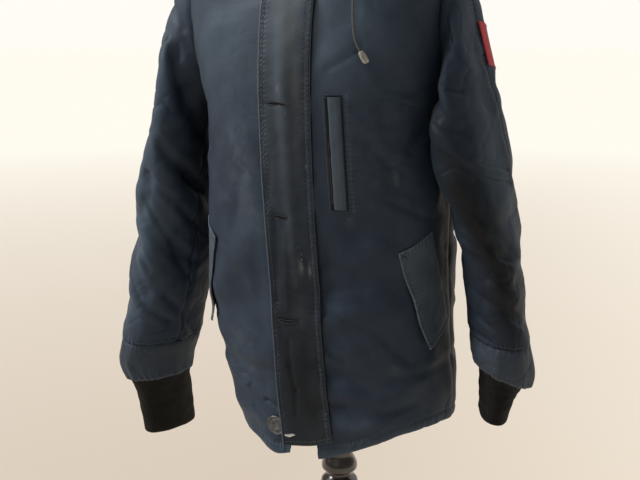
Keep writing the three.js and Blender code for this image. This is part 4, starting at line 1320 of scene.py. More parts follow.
@dataclass
class ShellBody(ClothWork):
    """The two fronts, the back and the collar."""

    body: BodyForm
    hem_stitch: float = 17.0
    collar_height: float = 48.0
    collar_wall: float = 3.0
    collar_stitch: float = 6.0
    welt: tuple[float, float] = (389, 544)
    sewing: Sewing = field(default_factory=Sewing)

    def detail(self, points: Array, angle: Array, ring: Array) -> Array:
        """Gives the height of small creases and unevenness on the body.

        Args:
            points: Points of the surface.
            angle: Their angles.
            ring: Their rings.

        Returns:
            The heights in millimetres.
        """
        angle, height = signed(angle), above_hem(points)
        small = self.body.folds(BODY_CREASES, angle, height) * np.clip((11.2 - ring) / 1.5, 0, 1)
        broad = 1.7 * soft_noise(points, 120, 3, (1, 1, 0.8)) + 0.9 * soft_noise(points, 48, 5)
        valley = np.clip(1 - np.abs(soft_noise(points, 90, 11, (1.6, 1.6, 0.7))) * 5, 0, 1) ** 2
        calm = 0.25 + 0.75 * smooth_step(np.abs(angle + 20) + np.abs(height - 500) * 0.3, 30, 90)
        total = 1.5 * small + broad - 1.3 * calm * valley * (0.5 + 0.5 * soft_noise(points, 160, 12))
        across, share = self.welt_frame(points)
        flat = 1 - smooth_step(np.abs(across - 8.5), 18, 40)
        flat *= 1 - smooth_step(np.abs(share - 0.5), 0.55, 0.9)
        return total * (1 - 0.9 * flat * (np.abs(angle) < 80))

    def welt_frame(self, points: Array) -> tuple[Array, Array]:
        """Gives the way across the chest pocket's welt and the share up it for points of the front."""
        share = (above_hem(points) - self.welt[0]) / (self.welt[1] - self.welt[0])
        return points[..., 0] - 54 + 8.5 * share, share

    def panel(self, name: str, angles: Array, rings: Array, sides: list[Side]) -> None:
        """Makes a panel of the body and sews its hem.

        Args:
            name: The node's name.
            angles: Angle of each point, rows by columns.
            rings: Ring of each row.
            sides: The edges with seams, each a valley with a swell beside it.
        """
        ring = np.broadcast_to(rings[:, None], angles.shape)
        base = self.body.point(angles, ring)
        sheet = Sheet(base, inside_body(base))
        height = self.detail(base, angles, ring)
        for side in sides:
            away = sheet.from_edge(side)
            height += 0.9 * bell(away, 15, 9) - 1.5 * bell(away, 0, 3.4)
        low = sheet.from_edge(Side.LOW)
        ripple = np.sin(sheet.along_edge(Side.LOW) * 0.42 + 4 * soft_noise(base, 60, 14))
        height += 0.9 * bell(low, 8, 6) - 1.5 * bell(low, self.hem_stitch, 2.0) - 1.2 * bell(low, 0, 1.2)
        height += 0.9 * ripple * bell(low, 9, 7) * (0.6 + 0.4 * soft_noise(base, 80, 15))
        sheet = sheet.raised(height)
        paint = Paint(sheet)
        paint.seam(Side.LOW, self.hem_stitch)
        if name == "front_left":
            across, share = self.welt_frame(base)
            paint.stitches(np.where(np.abs(share - 0.5) < 0.54, np.abs(across - 25), 1000), base[..., 2])
        self.paint_body(paint, signed(angles))
        self.sewing.hem(sheet, Side.LOW, self.hem_stitch)
        self.maker.panel(name + "_cloth", name, paint, WALL, self.cloth, "dress_form_cover")

    def paint_body(self, paint: Paint, angle: Array) -> None:
        """Paints where the body is faded, dusty and soiled, with painted light among the wear on the upper
        chest and painted shade on its sides under the arms.

        Args:
            paint: The sheet's painted values.
            angle: Angle of each point, from -180 to 180.
        """
        spots = {
            # The wide wear spots 640 mm up on both fronts are partly fading and partly painted light on the
            # upper chest.
            "wear": numbers("""
    -30 640 26 90 0.52; -28 440 7 90 0.2; -20 300 4 140 0.14; 24 640 22 80 0.56; 60 372 12 22 0.06;
    46 120 14 30 0.05; -30 40 16 18 0.2; 34 60 18 14 0.16; -36 130 20 80 0.1; 150 640 30 40 0.2;
    -150 640 30 40 0.2
"""),
            "dust": numbers("""
    -27.7 450 7 60 0.12; -22 372 5 40 0.08; 51 164 2.5 14 0.16; 53 434 1.2 14 0.2; 30.5 372 3 8 0.12;
    -30 470 3 24 0.1; 40 470 20 70 0.04; -40 150 14 50 0.06
"""),
            # The deep spots are painted shade on both sides under the arms and beside the left armhole.
            "deep": numbers("84 330 10 210 0.6; 102 240 16 230 0.6; -82 330 10 200 0.4; 70 540 10 90 0.3"),
            "soil": numbers("0 640 24 70 0.16; -60 520 10 60 0.1"),
        }
        paint.spots(angle, above_hem(paint.sheet.points), spots)
        paint.edge("wear", Side.LOW, 0.42, 4)
        paint.edge("wear", Side.LOW, 0.189, 8, 8)
        paint.add("wear", 0.25 * bell(paint.layers["stitch_away"], 0, 0.002))

    def make_collar(self) -> None:
        """Makes the stand collar, which leans in towards its upper edge."""
        first, last = (float(self.body.front_edge(np.array(12.0), side)) for side in (1, -1))
        angle, rise = np.meshgrid(np.linspace(first, 360 + last, 190), shares(26, (0.02, 0.05)))
        points = self.body.point(angle, 12.0, False)
        points[..., 0] -= np.sin(np.radians(angle)) * 6 * rise * rise
        points[..., 1] += np.cos(np.radians(angle)) * 6 * rise * rise
        points[..., 2] += SEAM_GAP + 0.3 + self.collar_height * rise
        sheet = Sheet(points, inside_body(points))
        high = sheet.from_edge(Side.HIGH)
        fold = 1.3 * bell(high, 0, 1.4) + 0.5 * bell(high, self.collar_stitch, 1.4)
        sheet = sheet.raised(0.35 * soft_noise(points, 34, 21) - fold)
        paint = Paint(sheet)
        paint.seam(Side.HIGH, self.collar_stitch)
        paint.edge("wear", Side.HIGH, 0.45, 4)
        paint.add("wear", 0.1)
        self.sewing.hem(sheet, Side.HIGH, self.collar_stitch)
        self.maker.panel("collar_cloth", "collar", paint, self.collar_wall, self.cloth, "back_cloth")

    def make(self) -> None:
        """Makes the body's pieces and their stitches."""
        seam = math.degrees(SEAM_GAP / 2 / 190)
        rings = self.body.rings(150, 62, 26)
        for side, name in ((-1, "front_right"), (1, "front_left")):
            start = self.body.front_edge(rings, side)[:, None]
            end = side * (90 - self.body.armhole(rings, False) - seam)[:, None]
            self.panel(name, start + (end - start) * shares(84)[None], rings, [Side.END, Side.HIGH])
        rings = self.body.rings(140, 58, 26)
        start = (90 + self.body.armhole(rings, True) + seam)[:, None]
        end = (270 - self.body.armhole(rings, True) - seam)[:, None]
        angles = start + (end - start) * shares(112)[None]
        self.panel("back", angles, rings, [Side.START, Side.END, Side.HIGH])
        self.make_collar()
        self.maker.stitched("body_stitches", self.sewing, self.thread)


FLAP_CREASES = Table(FOLD_COLUMNS, """
    5 640 9 380 15 1.3; -14 600 -12 420 12 -0.8; 21 376 28 250 10 -2.6; 8 350 12 240 8 1.4;
    28 250 20 170 10 -1.2; 13 190 14 150 6 -1.8; 14 150 9 110 5 -2; 9 110 12 70 5 -1.8;
    -16 200 -12 90 12 -1; 26 533 2 534 6 -1.2; 22 374 2 375 6 -1.3; 30 218 -4 221 6 -1.2;
    -20 330 -30 290 8 -0.8; 20 470 30 400 8 -0.9
""")


@dataclass
class StormFlap(ClothWork):
    """The long flap over the closing, with its edge channels and buttonholes."""

    body: BodyForm
    dark: Material
    pale: Material
    half_width: float = 38.0
    wall: float = 2.6
    bottom: float = 26.0
    top_ring: float = 11.7
    slant: float = 0.2
    channel: float = 7.5

    def part_rings(self) -> Array:
        """Gives the rows of rings of the flap's solid, which its lift is spaced by."""
        low = float(self.body.ring_for_height(0, self.bottom))
        rings = self.body.rings(13, 10, 3)
        between = rings[(rings > low + 0.15) & (rings < self.top_ring - 0.1)]
        return np.concatenate([[low], between, [self.top_ring]])

    def middle(self, ring: Array) -> Array:
        """Gives the X of the flap's middle at a ring."""
        return FRONT_OPENING.value("height", self.body.front_height(ring), "flap_x")

    def surface(self, share: Array, ring: Array, above: float = 0.0) -> Array:
        """Gives points of the flap's outer face.

        Args:
            share: 0 at the sewn edge and 1 at the free one.
            ring: Ring of the body under it.
            above: Extra height over the face.

        Returns:
            The points.
        """
        rings = self.part_rings()
        v = np.interp(ring, rings, np.linspace(0, 1, len(rings)))
        ring = ring - self.slant * np.maximum(0, share - 0.15) * np.clip(1 - (ring - rings[0]) / 0.45, 0, 1)
        angle = self.body.angle_for_x(self.middle(ring) + self.half_width * (1 - 2 * share), ring)
        free = 3.2 * share * share * (3 - 2 * share)
        trough = -2.2 * bell(share, 0.62, 0.14) * np.clip(1 - np.abs(v - 0.38) / 0.3, 0, 1)
        over_button = 5 * share * share * np.clip(1.6 - v * 9, 0, 1)
        return self.body.over(angle, ring, 1.4 + free + trough * share + over_button + self.wall + above)

    def make(self) -> None:
        """Makes the flap, its stitches and its buttonholes."""
        rings = np.linspace(self.part_rings()[0], self.top_ring, 330)
        share, ring = np.meshgrid(shares(38, (0.012, 0.03)), rings)
        points = self.surface(share, ring)
        sheet = Sheet(points, behind(points, 120))
        sides = [Side.START, Side.END, Side.LOW]
        x, height = (share - 0.5) * 2 * self.half_width, above_hem(points)
        relief = fold_depth(FLAP_CREASES, x, height, 1.0) + 0.35 * soft_noise(points, 30, 31)
        for side in sides:
            away, run = sheet.from_edge(side), sheet.along_edge(side)
            ripple = np.sin(run * 0.96 + 2.4 * soft_noise(points, 26, 33))
            relief += 0.5 * bell(away, 3.6, 2.6) - 0.7 * bell(away, self.channel, 1.5)
            relief += 0.32 * ripple * bell(away, 4.5, 3.6) - 1.2 * bell(away, 0, 1.1)
        sheet = sheet.raised(relief)
        paint, sewing = Paint(sheet), Sewing()
        for side in sides:
            paint.seam(side, self.channel)
            sewing.hem(sheet, side, self.channel)
        self.paint_flap(paint, x, height)
        self.maker.panel("storm_flap_cloth", "storm_flap", paint, self.wall, self.cloth, "front_left_cloth")
        self.make_seam_line(rings[6:])
        self.make_buttonholes(sewing)
        self.maker.stitched("flap_stitches", sewing, self.thread)

    def make_seam_line(self, rings: Array) -> None:
        """Makes a dark strip of painted shade in the gap where the flap is sewn to the left front, from ring
        to ring.

        Args:
            rings: Rows in the body's table.
        """
        across, ring = np.meshgrid(np.array([-0.6, 0.4, 1.4]), rings)
        angle = self.body.angle_for_x(self.middle(ring) + self.half_width + across, ring)
        points = self.body.over(angle, ring, 1.5)
        self.maker.strip("flap_seam_shade_line", Sheet(points, behind(points, 120)), 0.8, self.dark)

    def paint_flap(self, paint: Paint, x: Array, height: Array) -> None:
        """Paints the flap's faded streak, worn edges, soiled top and scuffs, with painted light among the
        wear at its top and painted shade over its lower half.

        Args:
            paint: The flap's paint.
            x: Millimetres from the flap's middle.
            height: Millimetres above the hem.
        """
        spots = {
            # The wide wear spots at the top, 650 to 660 mm up, are partly fading and partly painted light.
            "wear": numbers("""
    5 640 9 60 0.34; 6 540 8 60 0.34; 2 440 9 60 0.3; 1 350 7 50 0.2; -12 660 20 70 0.42;
    20 650 20 90 0.46; 24 480 10 90 0.16
"""),
            "soil": numbers("-4 640 12 60 0.3; -16 560 10 60 0.2; -14 470 9 60 0.1; -10 60 30 50 0.12"),
            # The deep spots are painted shade, strongest over the lower half.
            "deep": numbers("-12 400 14 90 0.35; 0 200 40 120 0.54; 0 80 40 80 0.4; 22 330 10 50 0.2"),
            "dust": numbers("""
    -14 318 3 18 0.65; -26 300 2 12 0.4; 8 555 2 5 0.5; -2 521 2 3 0.6; -30 448 1.2 2 0.8;
    -6 250 12 60 0.05
"""),
        }
        paint.spots(x, height, spots)
        for side, strength in ((Side.START, 0.4), (Side.END, 0.95), (Side.LOW, 0.5)):
            paint.edge("wear", side, strength, 1.3)
        paint.add("wear", 0.12 * bell(paint.layers["stitch_away"], 0, 0.0015))

    def make_buttonholes(self, sewing: Sewing) -> None:
        """Makes the slits, dark with painted shade inside apart from the lowest pale one, and gives the
        sewing the stitches along them.
        """
        slits = ((0.83, 0.41, 533), (0.78, 0.53, 374), (0.88, 0.45, 219), (0.93, 0.72, 40))
        for number, (start, end, height) in enumerate(slits):
            along = np.linspace(start, end, 22)
            ring = float(self.body.ring_for_height(0, height))
            drift = 0.012 * np.sin(np.linspace(0, 5, 22) + number)
            open_by = 0.03 * np.sin(np.linspace(0.05, math.pi - 0.05, 22)) ** 0.7
            rings = [ring + drift + way * open_by for way in (-1, -0.4, 0.4, 1)]
            grid = np.stack([self.surface(along, one, 0.55) for one in rings])
            out = self.body.normal(0, ring)
            for edge in (grid[0], grid[-1]):
                sewing.follow(edge, np.broadcast_to(out, edge.shape))
            grid[1:3] -= out * 0.1
            # The dark slits are painted shade in the openings.
            finish = self.pale if number == 3 else self.dark
            self.maker.strip(f"buttonhole_{number}", Sheet(grid, behind(grid, 60)), 0.5, finish)


@dataclass
class Pockets(ClothWork):
    """The slanted pocket flaps and the chest pocket's welt with its zip."""

    body: BodyForm
    teeth: Material
    dark: Material
    stitch: float = 6.5

    def on_body(self, angle: Array, ring: Array, lift: Array | float) -> Sheet:
        """Lays a sheet on the body at a height over it."""
        points = self.body.over(angle, ring, lift)
        return Sheet(points, inside_body(points))

    def make_flap(self, side: int, name: str) -> None:
        """Makes one slanted pocket flap.

        Args:
            side: 1 for the wearer's left and -1 for the right.
            name: The node's name.
        """
        u, v = np.meshgrid(shares(34, (0.02, 0.045)), shares(84, (0.008, 0.02)))
        height = 180 + 146 * v + 26 * u
        angle = side * ((65 - 13 * v) * (1 - u) + (84 - 15 * v) * u)
        flare = 9 if side > 0 else 3
        curl = 2.5 * np.exp(-(u / 0.2) ** 2 - (v / 0.1) ** 2)
        wave = 2.0 * np.sin(v * 11 + 1) * (1 - u) ** 2
        lift = 0.3 + WALL + (1 - u) ** 1.5 * (2 + flare * (1 - v) ** 2) + curl + wave * (side > 0)
        sheet = self.on_body(angle, self.body.ring_for_height(angle, height), lift)
        relief = 0.5 * soft_noise(sheet.points, 34, 41)
        sides = [Side.START, Side.LOW, Side.HIGH]
        for edge in sides:
            away = sheet.from_edge(edge)
            relief += 0.4 * bell(away, 3, 2.2) - 0.6 * bell(away, self.stitch, 1.4) - 1.1 * bell(away, 0, 1.0)
        sheet = sheet.raised(relief - 0.8 * bell(sheet.from_edge(Side.END), 0, 3))
        paint, sewing = Paint(sheet), Sewing()
        for edge in sides:
            paint.seam(edge, self.stitch)
            paint.edge("wear", edge, 0.55, 1.8)
            sewing.hem(sheet, edge, self.stitch)
        for layer, strength in (("wear", 0.3), ("soil", 0.2), ("dust", 0.05)):
            paint.add(layer, strength)
        paint.edge("dust", Side.START, 0.2, 2)
        front = "front_left_cloth" if side > 0 else "front_right_cloth"
        self.maker.panel(name + "_cloth", name, paint, WALL, self.cloth, front)
        self.maker.stitched(name + "_stitches", sewing, self.thread)

    def welt_place(self, across: Array, share: Array) -> tuple[Array, Array]:
        """Gives angle and ring on the chest for a way across the welt and a share up it."""
        ring = self.body.ring_for_height(23.0, 389 + 155 * share)
        return self.body.angle_for_x(54 - 8.5 * share + across, ring), ring

    def make_welt(self) -> None:
        """Makes the welt, the zip beside it, dark strips of painted shade in the groove round it and the
        frame of stitches.
        """
        u, v = np.meshgrid(shares(16, (0.02, 0.05)), shares(90, (0.004, 0.01)))
        angle, ring = self.welt_place(17 * u, v)
        crown = 0.9 + 1.4 + 2.2 * np.sin(math.pi * u) ** 0.6
        sheet = self.on_body(angle, ring, crown - 0.8 * bell(u, 0.0, 0.06))
        sheet = sheet.raised(0.3 * soft_noise(sheet.points, 22, 51))
        paint = Paint(sheet)
        paint.edge("wear", Side.START, 0.4, 1.0)
        paint.add("wear", 0.24 + 0.16 * bell(u, 0.6, 0.2))
        paint.add("soil", 0.08 + 0.14 * bell(v, 0.25, 0.25))
        self.maker.panel("chest_welt_cloth", "chest_pocket_welt", paint, 1.6, self.cloth, "front_left_cloth")
        self.make_zip()
        ways = np.linspace(-4, 19.6, 12)
        # Painted shade: dark strips in the groove beside, above and below the welt.
        self.dark_line("welt_side_shade_line", np.array([18.4, 19.6]), np.linspace(0, 1, 60))
        self.dark_line("welt_top_shade_line", ways, np.array([1.004, 1.012]))
        self.dark_line("welt_low_shade_line", ways, np.array([-0.012, -0.004]))
        sewing = Sewing()
        for across, lift in ((-6.5, 1.3), (22.0, 1.3), (15.2, 3.0)):
            self.sew_on(sewing, np.full(60, across), np.linspace(-0.02, 1.02, 60), lift)
        for share in (-0.02, 1.02):
            self.sew_on(sewing, np.linspace(-6.5, 22, 16), np.full(16, share), 1.3)
        self.maker.stitched("welt_stitches", sewing, self.thread)

    def sew_on(self, sewing: Sewing, across: Array, share: Array, lift: float) -> None:
        """Sews one line beside the welt."""
        angle, ring = self.welt_place(across, share)
        sewing.follow(self.body.over(angle, ring, lift), self.body.normal(angle, ring))

    def dark_line(
        self, name: str, across: Array, share: Array, lift: float = 1.35, wall: float = 0.6
    ) -> None:
        """Makes a dark strip in or beside the welt, at ways across it and shares up it: the zip tape, and
        painted shade in the groove round the welt.
        """
        angle, ring = self.welt_place(*np.meshgrid(across, share))
        self.maker.strip(name, self.on_body(angle, ring, lift), wall, self.dark)

    def make_zip(self) -> None:
        """Makes the dark slit and the zip's teeth in it."""
        self.dark_line("chest_zip_tape", np.linspace(-4.2, 0.6, 7), np.linspace(0.0, 0.99, 60), 0.9, 0.7)
        points, faces = [], []
        for number, share in enumerate(np.linspace(0.06, 0.6, 38)):
            angle, ring = self.welt_place(np.array(-2.0 + 0.5 * (-1) ** number), np.array(share))
            out = self.body.normal(angle, ring)
            middle = self.body.point(angle, ring) + out * 1.5
            ahead = unit(np.cross(out, np.array([1.0, 0.3, 0.0])))
            aside = np.cross(ahead, out)
            base = len(points)
            for k in range(8):
                wide, long, high = (1 if k & bit else -1 for bit in (1, 2, 4))
                taper = 0.75 if high > 0 else 1.0
                points.append(middle + (aside * 1.25 * wide + ahead * 0.6 * long) * taper + out * 0.7 * high)
            for face in ((0, 2, 3, 1), (4, 5, 7, 6), (0, 1, 5, 4), (2, 6, 7, 3), (0, 4, 6, 2), (1, 3, 7, 5)):
                faces.append(tuple(base + k for k in face))
        made = self.maker.object_from("chest_zip_teeth", np.array(points), faces)
        made.data.materials.append(self.teeth)
        self.maker.settle(made, "snap_metal")

    def make(self) -> None:
        """Makes the pockets."""
        self.make_flap(1, "pocket_flap_left")
        self.make_flap(-1, "pocket_flap_right")
        self.make_welt()


@dataclass
class Sleeve(ClothWork):
    """One sleeve: front and back half, gathered band, rib cuff and the stitches."""

    form: SleeveForm
    name: str
    rib: Material
    ribs: int = 72
    cuff_wall: float = 2.6
    rib_rise: float = 0.9
    band_seam: float = 6.0
    seam_stitch: float = 3.5
    hem_stitch: float = 4.0

    def within(self, points: Array, places: Array) -> Array:
        """Gives the sleeve's middle line for rows of points."""
        return np.broadcast_to(self.form.centre(places)[:, None], points.shape)

    def detail(self, points: Array, turn: Array, place: Array) -> Array:
        """Gives the height of the small creases of the sleeve.

        Args:
            points: Points of the sleeve.
            turn: Their degrees round it.
            place: Their places down it.

        Returns:
            The heights in millimetres.
        """
        height = above_hem(points)
        turn = np.mod(turn, 360)
        small = np.zeros(turn.shape)
        for shift in (0, -360):
            small += fold_depth(self.form.creases, turn + shift, height, self.form.degree)
        broad = 0.9 * soft_noise(points, 90, 61) + 0.5 * soft_noise(points, 38, 62)
        valley = np.clip(1 - np.abs(soft_noise(points, 70, 63, (1, 1, 0.8))) * 4, 0, 1) ** 2
        return (1.25 * small + 1.4 * broad - 1.5 * valley) * smooth_step(place, 0, 0.25)

    def half(self, name: str, start: Callable, end: Callable) -> None:
        """Makes the front or back half of the sleeve.

        Args:
            name: The node's name.
            start: Gives the turn of its first edge at a place.
            end: Gives the turn of its last edge.
        """
        places = np.concatenate([np.linspace(0, 1, 76)[:-1], np.linspace(1, self.band_seam, 110)])
        seam = math.degrees(SEAM_GAP / 2 / 46)
        first, last = start(places) + seam, end(places) - seam
        turn = first[:, None] + (last - first)[:, None] * shares(62)[None]
        place = np.broadcast_to(places[:, None], turn.shape)
        points = self.form.point(turn, place)
        under = points[0] - points[1]
        under[:, 0] -= self.form.side * 7.0
        inward = unit(self.form.centre(places[:1]) - points[0])
        points = np.concatenate([(points[0] + under * 0.6 + inward * 3.0)[None], points])
        places = np.concatenate([[0.0], places])
        turn, place = np.vstack([turn[:1], turn]), np.vstack([place[:1], place])
        sheet = Sheet(points, self.within(points, places))
        relief = self.detail(points, turn, place)
        for side in (Side.START, Side.END):
            away = sheet.from_edge(side)
            relief += 0.7 * bell(away, 11, 7) - 1.4 * bell(away, 0, 2.6)
        high, low = sheet.from_edge(Side.HIGH), sheet.from_edge(Side.LOW)
        gather = np.sin(np.radians(np.mod(turn, 360)) * 32 + 3 * soft_noise(points, 40, 64))
        relief += 0.7 * gather * bell(high, 0, 14) - 1.6 * bell(high, 0, 3)
        relief += 1.5 * bell(low, 14, 9) - 0.8 * bell(low, 0, 3)
        self.finish_half(name, sheet.raised(relief), np.mod(turn, 360))

    def finish_half(self, name: str, sheet: Sheet, turn: Array) -> None:
        """Paints, makes and sews a half of the sleeve.

        Args:
            name: The node's name.
            sheet: Its outer face.
            turn: Degrees round the sleeve of each point.
        """
        paint, sewing = Paint(sheet), Sewing()
        outer = Side.END if "front" in name else Side.START
        for side, inset in ((outer, self.seam_stitch), (Side.HIGH, self.hem_stitch)):
            paint.seam(side, inset)
            sewing.hem(sheet, side, inset)
        # Deep spots are painted shade: over the front and middle of the left sleeve and on the right sleeve's
        # inner side next to the body. The right sleeve's wear spots on its front are partly fading and partly
        # painted light on its lit front.
        if self.form.side > 0:
            wear = numbers("140 640 40 50 0.16; 172 470 16 130 0.3; 160 330 14 90 0.16")
            deep = numbers("104 400 44 110 0.92; 96 250 60 90 0.66; 60 560 24 80 0.5")
        else:
            wear = numbers("116 520 40 130 0.5; 140 650 40 50 0.2; 84 330 44 90 0.44; 80 180 50 60 0.34")
            deep = numbers("10 470 20 100 0.75; 44 580 16 50 0.3; 352 400 22 100 0.75")
        paint.spots(turn, above_hem(sheet.points), {"wear": wear, "deep": deep})
        paint.edge("wear", outer, 0.4, 2.4)
        self.maker.panel(name + "_cloth", name, paint, WALL, self.cloth, "dress_form_cover")
        self.maker.stitched(name + "_stitches", sewing, self.thread)

    def make_band(self) -> None:
        """Makes the gathered band."""
        turns = round_angles(240)
        turn, place = np.meshgrid(turns, self.band_seam + 0.02 + 1.98 * shares(34, (0.01, 0.03)))
        points = self.form.point(turn, place)
        share = (place - self.band_seam) / 2
        wave = np.cos(np.radians(turn * 9 + 40)) + 0.6 * np.cos(np.radians(turn * 14))
        pucker = 0.9 * wave * (np.sin(math.pi * share) ** 0.5 * 0.5 + 0.7 * share * share)
        swing = 1.6 * soft_noise(points, 46, 71)
        uneven = 0.45 + 0.55 * smooth_step(soft_noise(points, 60, 72), -0.4, 0.6)
        fine = np.sin(np.radians(turn) * 30 + 2.2 * swing) * uneven
        pucker += 1.1 * fine * bell(share, 1, 0.22) + 0.7 * fine * bell(share, 0, 0.2)
        sheet = Sheet(points, self.within(points, place[:, 0]), True)
        low, high = sheet.from_edge(Side.LOW), sheet.from_edge(Side.HIGH)
        valley = 1.5 * bell(low, 0, 2.6) + 2.0 * bell(high, 0, 2.2)
        sheet = sheet.raised(pucker + 0.6 * self.detail(points, turn, place) - valley)
        paint = Paint(sheet)
        paint.add("wear", 0.1 + 0.15 * np.clip(fine, 0, 1) * share)
        paint.edge("wear", Side.HIGH, 0.35, 3, 2)
        paint.add("soil", 0.12)
        paint.seam(Side.HIGH, 5)
        name, front = "sleeve_band_" + self.name, f"sleeve_front_{self.name}_cloth"
        self.maker.panel(name + "_cloth", name, paint, WALL, self.cloth, front, "gathered")

    def make_cuff(self, sections: Table) -> None:
        """Makes the rib-knit cuff, whose head is hidden under the band.

        Args:
            sections: The cuff's table.
        """
        turns = round_angles(self.ribs * 5)
        head = self.form.point(turns, 7.35)
        inward = self.form.centre(np.array(7.35)) - head
        inward[..., 2] = 0
        head = head + unit(inward) * (WALL + CLEARANCE + 1.6)
        places = np.linspace(0, 2, 34)
        rows = [self.form.tube(turns, np.full(turns.shape, place), sections) for place in places]
        points = np.stack([head, head * 0.5 + rows[0] * 0.5, *rows])
        sheet = Sheet(points, np.broadcast_to(points.mean(axis=1, keepdims=True), points.shape), True)
        down = np.linspace(0, 1, len(points))[:, None]
        ribbing = np.abs(np.cos(np.radians(turns) * self.ribs / 2)) ** 0.8
        slack = 0.5 * soft_noise(points, 42, 81) + 0.35 * np.sin(down * 21 + 2 * soft_noise(points, 60, 82))
        edge = 1.3 * bell(sheet.from_edge(Side.HIGH), 0, 1.6)
        paint = Paint(sheet.raised(self.rib_rise * ribbing[None] + slack - edge))
        paint.add("wear", 0.12 * ribbing[None] + 0.2 * bell(down, 0.98, 0.06))
        # The deep layer is painted shade, strong on the left cuff and slight on the right one.
        paint.add("deep", 0.85 if self.form.side > 0 else 0.1)
        name, band = "cuff_" + self.name, f"sleeve_band_{self.name}_cloth"
        self.maker.panel(name + "_knit", name, paint, self.cuff_wall, self.rib, band, "stretched", "rib_knit")

    def make(self) -> None:
        """Makes the sleeve."""
        self.half("sleeve_front_" + self.name, np.zeros_like, self.form.outer_seam)
        self.half("sleeve_back_" + self.name, self.form.outer_seam, lambda place: np.full_like(place, 360))
        self.make_band()
        self.make_cuff(CUFF_LEFT if self.form.side > 0 else CUFF_RIGHT)


@dataclass
class SleevePatch(ClothWork):
    """The plain square patch on the wearer's left sleeve."""

    form: SleeveForm
    stitch: float = 1.6
    def make(self) -> None:
        """Makes the patch and the stitches round it."""
        down, across = np.meshgrid(shares(26, (0.02, 0.05)), shares(26, (0.02, 0.05)), indexing="ij")
        place = 0.62 - 0.2 * down
        turn = self.form.outer_seam(place) + 2 + 42 * across
        points = self.form.point(turn, place)
        core = np.broadcast_to(self.form.centre(place[:, 0])[:, None], points.shape)
        sheet = Sheet(points, core)
        edge = np.minimum.reduce([sheet.from_edge(side) for side in Side])
        sheet = sheet.raised(2.2 + 0.35 * bell(edge, 1.6, 1.0) - 0.5 * bell(edge, 0, 0.7))
        sewing = Sewing(pitch=1.5, length=1.9, radius=0.3)
        for side in Side:
            sewing.hem(sheet, side, self.stitch)
        paint = Paint(sheet)
        paint.add("wear", 0.25 * bell(edge, 0, 1.5))
        name, back = "sleeve_patch", "sleeve_back_left_cloth"
        self.maker.panel(name + "_cloth", name, paint, 1.1, self.cloth, back, "laid", "patch_cloth")
        self.maker.stitched("patch_stitches", sewing, self.thread, "patch_cloth")


